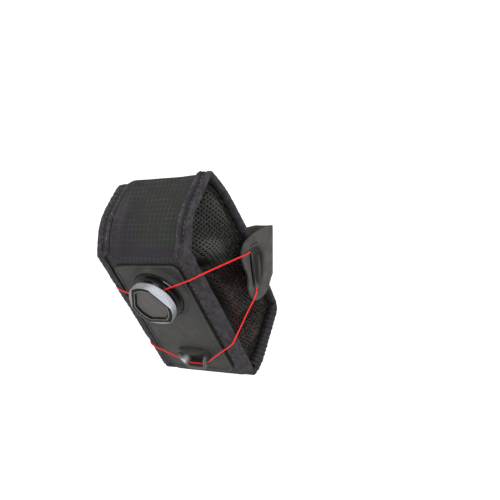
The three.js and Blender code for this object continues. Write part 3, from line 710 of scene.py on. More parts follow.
@dataclass(frozen=True)
class CoatedSheet:
    """Stout cloth with a matt coating, with painted shade in its hollows."""

    name: str = "coated_sheet"
    dark: Colour = (0.025, 0.0225, 0.021)
    light: Colour = (0.046, 0.042, 0.039)
    # painted shade: the colour laid in the deeper places
    hollow: Colour = (0.004, 0.0036, 0.0035)
    hollow_depth: Pair = (0.3, 1.0)
    tone: Cloud = Cloud(6, 4, 0.3, 0.75)
    grain: Cloud = Cloud(0.6, share=0.8)
    swell: Cloud = Cloud(4, share=0.6)
    relief: float = 0.12
    gloss: Cloud = Cloud(9, share=0.15)
    gloss_least: float = 0.45
    shine: float = 0.2

    def make(self) -> Material:
        """Makes the material."""
        paint = Paint(self.name)
        depth, _ = paint.weave()
        sheet = paint.mix(self.tone.mask(paint), self.dark, self.light)
        colour = paint.mix(depth.step(*self.hollow_depth), sheet, self.hollow)
        paint.bump(self.grain.value(paint) + self.swell.value(paint), self.relief)
        roughness = self.gloss.value(paint) + self.gloss_least
        return paint.done(colour, roughness, Specular_IOR_Level=self.shine)


@dataclass(frozen=True)
class Plastic:
    """Moulded plastic with a slight unevenness."""

    name: str
    colour: Colour
    worn: Colour
    roughness: float
    relief: float = 0.03
    shine: float = 0.4
    wear: Cloud = Cloud(4, 3, 0.45, 0.8)
    grain: Cloud = Cloud(0.8, 2)
    gloss: Cloud = Cloud(5, 3, share=0.12)

    def make(self) -> Material:
        """Makes the material."""
        paint = Paint(self.name)
        colour = paint.mix(self.wear.mask(paint), self.colour, self.worn)
        paint.bump(self.grain.value(paint), self.relief)
        roughness = self.gloss.value(paint) + (self.roughness - self.gloss.share / 2)
        return paint.done(colour, roughness, Specular_IOR_Level=self.shine)


@dataclass(frozen=True)
class KnobGrip:
    """Light satin plastic, darkened by painted shade except on the side where light falls."""

    # wall is the lit colour and rim the painted shade colour
    wall: Colour = (0.31, 0.32, 0.355)
    rim: Colour = (0.13, 0.135, 0.13)
    grain: Cloud = Cloud(0.8, 2)
    relief: float = 0.02
    roughness: float = 0.42
    shine: float = 0.3

    def make(self) -> Material:
        """Makes the material."""
        paint = Paint("grey_plastic")
        painted_shade, _ = paint.weave()
        paint.bump(self.grain.value(paint), self.relief)
        colour = paint.mix(painted_shade, self.wall, self.rim)
        return paint.done(colour, self.roughness, Specular_IOR_Level=self.shine)


@dataclass(frozen=True)
class SatinMetal:
    """Dark coated metal with a patchy painted highlight on its inner faces, where the lace runs."""

    coat: Colour = (0.032, 0.032, 0.032)
    # painted highlight colour
    bright: Colour = (0.62, 0.61, 0.61)
    rub: Cloud = Cloud(2.6, 3, 0.3, 0.7, 0.5)
    highlight_cloud_least: float = 0.5
    grain: Cloud = Cloud(0.9, 2)
    relief: float = 0.04
    roughness: float = 0.34
    metallic: float = 0.5

    def make(self) -> Material:
        """Makes the material."""
        paint = Paint("guide_metal")
        inside, _ = paint.weave()
        # a patchy painted highlight, laid where the weave says
        rubbed = self.rub.mask(paint) + self.highlight_cloud_least
        paint.bump(self.grain.value(paint), self.relief)
        colour = paint.mix(rubbed * inside, self.coat, self.bright)
        return paint.done(colour, self.roughness, Metallic=self.metallic)


@dataclass(frozen=True)
class BraidedLace:
    """Thin red braid, smooth and a little glossy."""

    red: Colour = (0.68, 0.008, 0.006)
    deep: Colour = (0.42, 0.006, 0.005)
    braid_pitch: float = 1.1
    strand: Pair = (0.0, 0.25)
    relief: float = 0.08
    roughness: float = 0.45
    shine: float = 0.25

    def make(self) -> Material:
        """Makes the material."""
        paint = Paint("lace")
        around, along = paint.weave()
        braid = (around + along).wave(self.braid_pitch) * (along - around).wave(self.braid_pitch)
        paint.bump(braid, self.relief)
        colour = paint.mix(braid.step(*self.strand), self.deep, self.red)
        return paint.done(colour, self.roughness, Specular_IOR_Level=self.shine)


@dataclass(frozen=True)
class Thread:
    """Sewing thread."""

    dark: Colour = (0.015, 0.014, 0.015)
    light: Colour = (0.075, 0.07, 0.07)
    tone: Cloud = Cloud(3, 2, 0.4, 0.7)
    roughness: float = 0.55

    def make(self) -> Material:
        """Makes the material."""
        paint = Paint("thread")
        return paint.done(paint.mix(self.tone.mask(paint), self.dark, self.light), self.roughness)


@dataclass(frozen=True)
class Backdrop:
    """Plain pale studio floor that glows a little."""

    pale: Colour = (0.6, 0.6, 0.6)
    white: Colour = (1.0, 1.0, 1.0)
    glow: float = 0.62
    roughness: float = 0.9

    def make(self) -> Material:
        """Makes the material."""
        paint = Paint("studio_floor")
        light = paint.opaque(self.white)
        return paint.done(self.pale, self.roughness, Emission_Color=light, Emission_Strength=self.glow)


class Finishes:
    """Every material of the pack, made once."""

    def __init__(self) -> None:
        """Makes the materials."""
        black, scuffed = (0.003, 0.003, 0.003), (0.005, 0.005, 0.005)
        self.ripstop = Ripstop().make()
        self.red_lining = RedCloth().make()
        self.tape = Tape().make()
        self.gathered = GatheredTape().make()
        self.net = Net().make()
        self.pad = RubberPad().make()
        self.sheet = CoatedSheet().make()
        self.wing_guide = CoatedSheet(
            "wing_guide", dark=(0.020, 0.0185, 0.018), light=(0.040, 0.037, 0.035),
        ).make()
        self.housing = Plastic("black_plastic", black, scuffed, roughness=0.28, shine=0.12).make()
        self.grip = KnobGrip().make()
        self.cap_border = Plastic(
            "cap_border", black, scuffed, roughness=0.3, relief=0.01, shine=0.07,
        ).make()
        matt, rubbed = (0.047, 0.0435, 0.041), (0.064, 0.059, 0.0555)
        self.cap_face = Plastic("cap_face", matt, rubbed, roughness=0.45, relief=0.02, shine=0.2).make()
        # painted highlight: the cap's inner edge takes a lighter grey, as where its bevel catches the light
        grey, edge_highlight_worn = (0.08, 0.08, 0.077), (0.12, 0.12, 0.116)
        self.cap_edge_highlight = Plastic("cap_edge_highlight", grey, edge_highlight_worn, roughness=0.35, relief=0.01, shine=0.3).make()
        self.metal = SatinMetal().make()
        self.lace = BraidedLace().make()
        self.thread = Thread().make()
        self.floor = Backdrop().make()


@dataclass(frozen=True)
class Corner:
    """A corner of the pack's side profile; swell moves it at mid-width."""

    name: str
    down: float
    up: float
    radius: float
    swell_down: float = 0.0
    swell_up: float = 0.0


@dataclass(frozen=True)
class PackShape:
    """The pack's side profile, swept across its width.

    Its corners swell at mid-width. The heel droops at the left edge and perks up at the right: both
    are changes of its down, up and radius.
    """

    half_width: float = 33.0
    thick: float = 1.6
    gap: float = 0.3
    swell_fall: Pair = (19.0, 25.5)
    toe_fall: Pair = (24.0, 32.0)
    corner_steps: int = 10
    run_step: float = 1.3
    droop_from: float = 23.0
    droop: Triple = (1.2, -1.6, 5.0)
    perk_from: float = 12.0
    perk: Triple = (-0.6, 1.1, 0.0)
    corners: tuple[Corner, ...] = (
        Corner("ridge", 0, 0, 4, 5, 0),
        Corner("toe", 97, 0, 4, 2.5, 0),
        Corner("nose", 96.5, 12, 14, 3, 0),
        Corner("brow", 84.5, 46, 7, 1, 0),
        Corner("crest", 28, 51.5, 60),
        Corner("slope", -4, 50, 40),
        Corner("heel", -21.3, 44, 3, -0.5, 0),
        Corner("back", -13.5, 13.5, 34, 4, 3),
    )

    def corner(self, name: str) -> Array:
        """A corner's place on the profile at the pack's edge, before it is rounded."""
        found = next(corner for corner in self.corners if corner.name == name)
        return np.array([found.down, found.up])

    def corner_rows(self, x: float) -> Array:
        """The corners at a place across the width, as rows of down, up and radius."""
        swell = 1 - smoothstep(abs(x), *self.swell_fall)
        toe = 1 - smoothstep(abs(x), *self.toe_fall)
        droop = smoothstep(-x, self.droop_from, self.half_width) * np.array(self.droop)
        heel = droop + smoothstep(x, self.perk_from, self.half_width) * np.array(self.perk)
        rows = []
        for corner in self.corners:
            full = toe if corner.name in ("toe", "nose") else swell
            row = np.array([corner.down, corner.up, corner.radius])
            row = row + full * np.array([corner.swell_down, corner.swell_up, 0.0])
            rows.append(row + heel if corner.name == "heel" else row)
        return np.array(rows)

    def arcs(self, x: float) -> Array:
        """The rounded corners at a place across the width, corners by points."""
        return rounded(self.corner_rows(x), self.corner_steps).reshape(-1, self.corner_steps, 2)

    @cached_property
    def run_steps(self) -> list[int]:
        """The number of steps on the straight run after each corner."""
        arcs = self.arcs(self.half_width)
        ends = np.linalg.norm(np.roll(arcs, -1, axis=0)[:, 0] - arcs[:, -1], axis=1)
        return [max(1, round(length / self.run_step)) for length in ends]

    def ring(self, x: float) -> Array:
        """The closed profile at a place across the width, as rows of down and up."""
        arcs = self.arcs(x)
        out = []
        for i, steps in enumerate(self.run_steps):
            share = np.arange(1, steps)[:, None] / steps
            start, end = arcs[i, -1], arcs[(i + 1) % len(arcs), 0]
            out += [arcs[i], start + (end - start) * share]
        return np.concatenate(out)

    def start(self, name: str) -> int:
        """The ring index of a corner's first point."""
        index = [corner.name for corner in self.corners].index(name)
        return sum(self.corner_steps + steps - 1 for steps in self.run_steps[:index])

    def end(self, name: str) -> int:
        """The ring index of a corner's last point."""
        return self.start(name) + self.corner_steps - 1

    @staticmethod
    def outward(ring: Array) -> Array:
        """The outward direction at each point of a closed ring."""
        along = np.roll(ring, -1, axis=0) - np.roll(ring, 1, axis=0)
        return unit(np.stack([along[:, 1], -along[:, 0]], -1))

    def lengths(self) -> Array:
        """The length along the ring at each point, with the whole length last."""
        ring = self.ring(0.0)
        return travel(np.concatenate([ring, ring[:1]]))

    def band(self, stations: Array, lift: Array | float) -> Array:
        """A grid over the pack, one row for each station across the width.

        Args:
            stations: The places across the width.
            lift: The height off the profile, one number or one for each place.

        Returns:
            Places in the pack's axes.
        """
        rows = []
        lifts = np.broadcast_to(lift, (len(stations), len(self.ring(0.0))))
        for x, height in zip(stations, lifts):
            ring = self.ring(x)
            ring = ring + self.outward(ring) * height[:, None]
            rows.append(np.column_stack([np.full(len(ring), x), ring]))
        return np.array(rows)


SHAPE = PackShape()


@dataclass(frozen=True)
class ClothBody:
    """The ripstop wrap and the red lining inside it."""

    stations: int = 57
    lining_stations: int = 21
    lining_half_width: float = 25.5
    lining_thick: float = 1.0
    pucker_depth: float = 0.16
    pucker_pitch: float = 4.2
    pucker_rise: Pair = (17.0, 24.0)
    pucker_fall: Pair = (26.0, 30.0)
    drape_depth: float = 0.28
    drape_fall: Pair = (18.0, 26.0)

    def relief(self, stations: Array) -> Array:
        """The wrap's slight unevenness: puckers by the seams and a soft drape between."""
        along = SHAPE.lengths()[:-1]
        x = stations[:, None]
        seam = between(np.abs(x), self.pucker_rise, self.pucker_fall)
        pucker = np.sin(2 * math.pi * along / self.pucker_pitch + 2 * wander(along / 9, 1.0))
        drape = wander(along / 8 + x / 16, 0.4) * wander(x / 9 - along / 30, 2.1)
        middle = 1 - smoothstep(np.abs(x), *self.drape_fall)
        return self.pucker_depth * seam * pucker + self.drape_depth * middle * drape

    def shell(self, stations: Array, outside: float, inside: float, rough: bool) -> Patch:
        """A band of cloth with two faces.

        Args:
            stations: The places across the width.
            outside: The height of the outer face off the profile.
            inside: The height of the inner face.
            rough: Whether the cloth has its unevenness.

        Returns:
            The patch, closed both ways.
        """
        relief = self.relief(stations) if rough else np.zeros((len(stations), 1))
        outer = SHAPE.band(stations, outside + relief)
        inner = SHAPE.band(stations, inside + relief)[::-1]
        across = np.concatenate([stations, stations[::-1], stations[:1]])
        weave = np.stack(np.meshgrid(across, SHAPE.lengths(), indexing="ij"), -1)
        return Patch(upright(np.concatenate([outer, inner])), weave, close_rows=True, close_cols=True)

    def build(self, finishes: Finishes) -> None:
        """Makes the wrap and the lining."""
        half = SHAPE.half_width
        wrap = self.shell(np.linspace(-half, half, self.stations), 0.0, -SHAPE.thick, True)
        piece = PieceBuilder("wrap_cloth").add(wrap).build([finishes.ripstop])
        settle(piece, "pack", "ripstop", "body_wrap")
        outside = -SHAPE.thick - SHAPE.gap
        width = np.linspace(-self.lining_half_width, self.lining_half_width, self.lining_stations)
        lining = self.shell(width, outside, outside - self.lining_thick, False)
        piece = PieceBuilder("lining_cloth").add(lining).build([finishes.red_lining])
        settle(piece, "pack", "red_lining", "lining")


@dataclass(frozen=True)
class Fold:
    """A crease, hollow or swell of a mesh side; turn is in degrees from the base line."""

    name: str
    down: float
    up: float
    along: float
    across: float
    turn: float
    depth: float

    def push(self, down: Array, up: Array) -> Array:
        """How far the fold pushes the mesh inward at each place."""
        turn = math.radians(self.turn)
        ahead, aside = down - self.down, up - self.up
        along = ahead * math.cos(turn) + aside * math.sin(turn)
        across = aside * math.cos(turn) - ahead * math.sin(turn)
        return self.depth * bell(along, self.along) * bell(across, self.across)


@dataclass(frozen=True)
class MeshSide:
    """A mesh side, knitted with long holes in staggered rows.

    It is held along its edge and free to sag further in. The holes close up in the deep creases.
    """

    outside: float = 29.2
    thick: float = 0.6
    row_pitch: float = 4.6
    column_pitch: float = 2.5
    hole_along: float = 0.92
    hole_across: float = 0.5
    strand_rise: float = 0.22
    bevel_share: float = 0.55
    hole_dip: float = 0.1
    back_bow: float = 0.08
    lattice_turn: float = 53.0
    margin: float = 8.0
    overlap: float = 0.6
    edge_fade: Pair = (-0.2, 1.0)
    free: Pair = (2.0, 7.0)
    shut: tuple[str, ...] = ("edge trough", "crease")
    shut_sag: Pair = (1.8, 4.0)
    shut_share: float = 0.9
    folds: tuple[Fold, ...] = (
        Fold("edge trough", 40, 9.5, 25, 5.0, 2, 9),
        Fold("crease", 21, 13, 12, 3.4, 48, 6),
        Fold("roll above crease", 11.5, 19.8, 16, 6, 48, -4),
        Fold("upper swell", -2, 40, 20, 8, 15, -2.6),
        Fold("middle hollow", 40, 29, 15, 7, 60, 3.4),
        Fold("nose fold", 70, 24, 16, 5, 75, 2.6),
        Fold("nose swell", 80, 18, 12, 5, 80, -2.2),
    )

    def cell(self) -> tuple[Array, Array]:
        """The outline of one cell of the knit and of its hole, about the cell's middle."""
        a, b = self.row_pitch, self.column_pitch
        tip, shoulder = (a * a + b * b) / (4 * a), (a * a - b * b) / (4 * a)
        corners = np.array([
            (tip, 0), (shoulder, b / 2), (-shoulder, b / 2),
            (-tip, 0), (-shoulder, -b / 2), (shoulder, -b / 2),
        ])
        middles = (corners + np.roll(corners, -1, axis=0)) / 2
        outline = np.stack([corners, middles], 1).reshape(-1, 2)
        angles = np.arctan2(outline[:, 1] / self.hole_across, outline[:, 0] / self.hole_along)
        hole = np.stack([self.hole_along * np.cos(angles), self.hole_across * np.sin(angles)], -1)
        return outline, hole

    def middles(self, edge: Array) -> Array:
        """The middles of the cells that lie inside an edge."""
        low, high = edge.min(0) - self.margin, edge.max(0) + self.margin
        span = float(np.linalg.norm(high - low))
        rows = np.arange(-span, span, self.column_pitch / 2)
        cols = np.arange(-span, span, self.row_pitch)
        shift = (np.arange(len(rows)) % 2) * self.row_pitch / 2
        along = cols[None] + shift[:, None]
        grid = np.stack([along, np.broadcast_to(rows[:, None], along.shape)], -1)
        turned = self.turned(grid.reshape(-1, 2)) + (low + high) / 2
        return turned[self.depth(turned, edge) > -self.overlap]

    def turned(self, places: Array) -> Array:
        """Places turned into the direction of the knit's rows."""
        turn = math.radians(self.lattice_turn)
        return places @ np.array([[math.cos(turn), math.sin(turn)], [-math.sin(turn), math.cos(turn)]])

    @staticmethod
    def nearest(places: Array, edge: Array) -> Array:
        """The nearest point of a closed edge to each place."""
        start, span = edge, np.roll(edge, -1, axis=0) - edge
        share = ((places[:, None] - start) * span).sum(-1) / (span * span).sum(-1)
        feet = start + span * np.clip(share, 0, 1)[..., None]
        best = np.linalg.norm(places[:, None] - feet, axis=-1).argmin(1)
        return feet[np.arange(len(places)), best]

    def depth(self, places: Array, edge: Array) -> Array:
        """How far each place lies inside a convex edge, below zero outside it."""
        span = np.roll(edge, -1, axis=0) - edge
        inward = unit(np.stack([-span[:, 1], span[:, 0]], -1))
        away = places - self.nearest(places, edge)
        side = ((places[:, None] - edge) * inward).sum(-1).min(1)
        return np.sign(side) * np.linalg.norm(away, axis=-1)

    def open_share(self, middles: Array) -> Array:
        """How far the hole of each cell is open."""
        creases = [fold for fold in self.folds if fold.name in self.shut]
        sag = sum(fold.push(*middles.T) for fold in creases)
        return (1 - self.shut_share * smoothstep(sag, *self.shut_sag))[:, None, None]

    def build(self, side: Side, finishes: Finishes) -> None:
        """Makes the net of one side."""
        ring = SHAPE.ring(side.value * SHAPE.half_width)
        edge = ring - SHAPE.outward(ring) * (SHAPE.thick + SHAPE.gap)
        middles = self.middles(edge)
        outline, hole = (self.turned(part) for part in self.cell())
        hole = hole * self.open_share(middles)
        outline = outline + 0 * hole
        loops = (
            (outline, self.strand_rise),
            ((outline + hole) / 2, self.strand_rise * self.bevel_share),
            (hole, -self.hole_dip),
            (hole, -self.thick),
            (outline, -self.thick - self.back_bow),
        )
        cells = np.stack([middles[:, None] + loop for loop, _ in loops], 1)
        flat = cells.reshape(-1, 2)
        deep = self.depth(flat, edge)
        flat = np.where((deep < 0)[:, None], self.nearest(flat, edge), flat)
        sag = smoothstep(np.maximum(deep, 0), *self.free) * sum(fold.push(*flat.T) for fold in self.folds)
        heights = np.array([height for _, height in loops])[None, :, None]
        rise = np.broadcast_to(heights, cells.shape[:3]).ravel()
        x = self.outside - sag + rise * smoothstep(deep, *self.edge_fade)
        places = upright(np.column_stack([side.value * x, flat])).reshape(*cells.shape[:3], 3)
        # the sag goes into the weave, where the net's material turns it into painted shade and painted
        # highlight
        shades = shade_map(sag.reshape(cells.shape[:3]))
        builder = PieceBuilder(f"net_{side.word}")
        builder.add(*(Patch(cell, shade, close_cols=True) for cell, shade in zip(places, shades)))
        piece = builder.build([finishes.net], 75, 0.02)
        settle(piece, "pack", "mesh", f"side_mesh_{side.word}")


@dataclass(frozen=True)
class Seam:
    """A row of stitches at a place across the pack, over a run of the profile."""

    x: float
    lift: float
    first: str
    last: str
    sides: tuple[Side, ...] = (Side.RIGHT, Side.LEFT)
    pitch: float = 3.0
    half_share: float = 0.36
    margins: Pair = (2.0, 1.5)
    radius: float = 0.24
    bow: float = 0.2
    steps: int = 6
    tip: float = 0.05

    def stitch(self, middle: Array, along: Array, outward: Array) -> Patch:
        """One stitch: a short thread that bows out of the cloth and dips in at both ends.

        Args:
            middle: Its middle, in the pack's axes.
            along: Its direction.
            outward: The direction out of the cloth.

        Returns:
            The patch.
        """
        aside = np.cross(along, outward)
        share = np.linspace(-1, 1, self.steps)[:, None, None]
        around = full_turn(self.steps)[None, :, None]
        girth = self.radius * np.sqrt(np.minimum(1 + self.tip - share ** 2, 1))
        height = girth * np.sin(around) + self.bow * (1 - share ** 2)
        length = self.pitch * self.half_share * share
        places = middle + along * length + aside * girth * np.cos(around) + outward * height
        return Patch(upright(places), close_cols=True, cap_ends=True)


@dataclass(frozen=True)
class EdgeTape:
    """The tape folded over a panel edge, with its sewn grooves, and the gathered tape in front.

    Pairs that belong to a corner count steps of the profile's ring from that corner.
    """

    thick: float = 1.0
    outer_leg: float = 8.2
    top_share: float = 0.45
    widen: Pair = (-9, 3)
    inner_leg: float = 3.8
    lip_width: float = 0.9
    lip_least: float = 0.35
    fold_start: float = 0.3
    roll_depth: float = 1.3
    back_start: float = 1.5
    back_round: float = 0.4
    hem: float = 0.2
    top_points: int = 22
    roll_points: int = 11
    groove: float = 29.9
    groove_depth: float = 1.05
    groove_width: float = 0.7
    groove_least: float = 0.15
    panel_rise: Pair = (-6, 0)
    panel_fall: Pair = (0, 8)
    pucker: float = 0.14
    pucker_pitch: float = 3.6
    pucker_share: Pair = (0.25, 0.8)
    uneven: float = 0.25
    nick_width: float = 1.7
    nick_depth: float = 1.4
    left_nick: float = 0.3
    left_base: Pair = (2, 10)
    left_base_leg: float = 4.0
    left_bulge: float = 0.9
    waist: float = 0.95
    waist_under: float = 0.7
    waist_rise: Pair = (2, 14)
    waist_fall: Pair = (-14, -2)
    gather_ends: Pair = (0.002, 0.998)
    gather_leg: float = 6.0
    gather_under: float = 6.4
    gather_taper: float = 1.6
    taper_end: float = 0.75
    ruffles: int = 17
    ruffle_steps: int = 10
    ruffle_rise: float = 0.5
    ruffle_spread: float = 1.7
    ruffle_under: float = 0.4
    ruffle_drift: float = 3.2
    ruffle_fade: float = 0.8
    ruffle_mean: float = 0.7
    ruffle_swing: float = 0.45
    pleat_power: float = 0.6
    seams: tuple[Seam, ...] = (
        Seam(29.9, 0.6, "slope", "toe"),
        Seam(25.9, 1.36, "heel", "ridge"),
        Seam(25.9, 1.36, "ridge", "toe", (Side.RIGHT,)),
        Seam(23.6, 0.1, "ridge", "toe", (Side.RIGHT,), 3.6),
    )

    def section(
        self, leg: Array, groove: Array, rise: Array, spread: Array, under: Array
    ) -> tuple[Array, Array]:
        """Loops round the tape's section, one for each place along it.

        Args:
            leg: The width of the outer leg.
            groove: The depth of the sewn groove.
            rise: How far the outer face stands off.
            spread: How far the edge stands out.
            under: How far the inner leg reaches.

        Returns:
            The place across and the height off the profile, places by loop points.
        """
        gap, edge = SHAPE.gap, SHAPE.half_width
        fold = edge - self.fold_start
        begin = (edge - leg)[:, None]
        share = np.linspace(0, 1, self.top_points)[None]
        x_top = begin + (fold - begin) * share
        short = 1 - np.clip((x_top - begin) / self.lip_width, 0, 1)
        lip = self.lip_least + (1 - self.lip_least) * np.sqrt(1 - short ** 2)
        puff = self.thick + rise[:, None] * smoothstep(share, *self.pucker_share)
        dip = groove[:, None] * bell(x_top - self.groove, self.groove_width)
        z_top = gap + puff * lip - dip
        angle = np.linspace(math.pi / 2, -math.pi / 2, self.roll_points)[None]
        high, low = z_top[:, -1:], -under[:, None]
        x_roll = fold + (self.roll_depth + self.fold_start + spread[:, None]) * np.cos(angle)
        z_roll = (high + low) / 2 + (high - low) / 2 * np.sin(angle)
        ones = np.ones((len(leg), 1))
        inner, backing = edge - self.inner_leg + gap, (-SHAPE.thick - gap) * ones
        back = (edge - self.back_start, inner + self.back_round, inner, inner, edge + gap, edge + gap)
        z_back = [low, low, low + self.back_round, backing, backing, gap * ones]
        x = np.concatenate([x_top, x_roll[:, 1:], np.array([back]) * ones, begin + self.hem], 1)
        z = np.concatenate([z_top, z_roll[:, 1:], *z_back, gap * ones], 1)
        return x, z

    def patch(self, side: Side, run: Array, x: Array, z: Array, along: Array) -> Patch:
        """A tape from its loops.

        Args:
            side: The side of the pack.
            run: The rings' points that the tape follows, with their outward directions.
            x: The place across of each loop point.
            z: The height of each loop point.
            along: The length along the tape at each place.

        Returns:
            The patch, closed round its section and at its ends.
        """
        ring, outward = run[:, :2], run[:, 2:]
        flat = ring[:, None] + outward[:, None] * z[..., None]
        places = np.concatenate([side.value * x[..., None], flat], -1)
        steps = np.linalg.norm(np.diff(np.stack([x, z], -1), axis=1), axis=-1)
        around = np.concatenate([np.zeros((len(x), 1)), np.cumsum(steps, 1)], 1)
        around = around[:, self.top_points - 1, None] - around
        around = np.concatenate([around, around[:, -1:] - 1], 1)
        weave = np.stack([around, np.broadcast_to(along[:, None], around.shape)], -1)
        return Patch(upright(places), weave, close_cols=True, cap_ends=True)

    @staticmethod
    def run(side: Side, first: int, last: int) -> Array:
        """Ring points and outward directions from one ring index to another."""
        ring = SHAPE.ring(side.value * SHAPE.half_width)
        both = np.concatenate([ring, SHAPE.outward(ring)], 1)
        count = (last - first) % len(ring) + 1
        return both[(first + np.arange(count)) % len(ring)]

    def binding(self, side: Side) -> Patch:
        """The tape from the brow over the top, the rear panel and the base to the toe."""
        first = SHAPE.end("brow")
        run = self.run(side, first, SHAPE.start("toe"))
        along = travel(run[:, :2])

        def index(corner: str) -> int:
            """The number of a corner's first point on the tape."""
            return (SHAPE.start(corner) - first) % len(SHAPE.ring(0.0))

        def past(corner: str, steps: Pair) -> Array:
            """A soft step along the tape, over steps counted from a corner."""
            return smoothstep(np.arange(len(run)) - index(corner), *steps)

        seed = 0.7 if side is Side.RIGHT else 2.3
        leg = self.outer_leg * (self.top_share + (1 - self.top_share) * past("heel", self.widen))
        panel = past("heel", self.panel_rise) * (1 - past("ridge", self.panel_fall))
        groove = self.groove_depth * (self.groove_least + (1 - self.groove_least) * panel)
        ripple = np.sin(2 * math.pi * along / self.pucker_pitch + 2.5 * wander(along / 7, seed))
        rise = self.pucker * (ripple + wander(along / 5, seed + 1))
        spread = self.uneven * wander(along / 6, seed + 2)
        under = SHAPE.thick + SHAPE.gap + self.thick + self.uneven * wander(along / 4, seed + 3)
        if side is Side.LEFT:
            depth = self.left_nick
            base = past("ridge", self.left_base)
            leg = leg + (self.left_base_leg - leg) * base
            spread = spread + self.left_bulge * base
        else:
            depth = self.nick_depth
            above = 1 - past("ridge", self.waist_fall)
            spread = spread - self.waist * past("heel", self.waist_rise) * above
            under = under - self.waist_under * above
        row = next(row for row in Lace().sides if row.side is side)
        for down in (row.edge_down, row.lower_down):
            nick = depth * bell(along - along[index("ridge")] - down, self.nick_width)
            spread = spread - nick
            rise = rise - nick / 2
        return self.patch(side, run, *self.section(leg, groove, rise, spread, under), along)

    def gather(self, side: Side) -> Patch:
        """The front tape between the toe and the brow, drawn into ruffles."""
        coarse = self.run(side, SHAPE.start("toe"), SHAPE.end("brow"))
        length = travel(coarse[:, :2])
        share = np.linspace(*self.gather_ends, self.ruffles * self.ruffle_steps + 1)
        along = share * length[-1]
        run = read_along(coarse, length, along)
        run[:, 2:] = unit(run[:, 2:])
        seed = 1.9 if side is Side.RIGHT else 4.4
        phase = 2 * math.pi * self.ruffles * share + self.ruffle_drift * wander(along / 6, seed)
        pleat = np.abs(np.sin(phase / 2)) ** self.pleat_power
        fade = self.ruffle_mean + self.ruffle_swing * wander(along / 2, seed + 1)
        fade = fade * (1 - self.ruffle_fade * share)
        rise = self.ruffle_rise * fade * (pleat - 0.6)
        spread = self.ruffle_spread * fade * (pleat - 0.5)
        under = self.gather_under - self.gather_taper * smoothstep(share, 0.0, self.taper_end)
        under = under + self.ruffle_under * fade * np.cos(phase / 2)
        leg, groove = np.full(len(share), self.gather_leg), np.zeros(len(share))
        tape = self.patch(side, run, *self.section(leg, groove, rise, spread, under), along)
        # the pleat's phase goes into the weave, for the painted highlight on the crests and the painted
        # shade between the pleats
        tape.weave[..., 0] = pleat[:, None]
        return tape

    def stitches(self, side: Side) -> list[Patch]:
        """The stitches of every seam on one side."""
        out = []
        for seam in (seam for seam in self.seams if side in seam.sides):
            run = self.run(side, SHAPE.start(seam.first), SHAPE.start(seam.last))
            length = travel(run[:, :2])
            for at in np.arange(seam.margins[0], length[-1] - seam.margins[1], seam.pitch):
                row, ahead = read_along(run, length, at), read_along(run, length, at + 0.5)
                middle = np.array([side.value * seam.x, *(row[:2] + row[2:] * seam.lift)])
                along = unit(np.array([0.0, *(ahead - row)[:2]]))
                out.append(seam.stitch(middle, along, unit(np.array([0.0, *row[2:]]))))
        return out

    def build(self, side: Side, finishes: Finishes) -> None:
        """Makes the tape, the gathered tape and the stitches of one side."""
        rows = (
            ("edge_tape", [self.binding(side)], finishes.tape, ("binding",)),
            ("gathered_tape", [self.gather(side)], finishes.gathered, ("front_gather",)),
            ("stitches", self.stitches(side), finishes.thread, ()),
        )
        for name, patches, finish, nodes in rows:
            sharp = 60 if nodes else 42
            piece = PieceBuilder(f"{name}_{side.word}").add(*patches).build([finish], sharp)
            settle(piece, "pack", "edge_tape", *(f"{node}_{side.word}" for node in nodes))


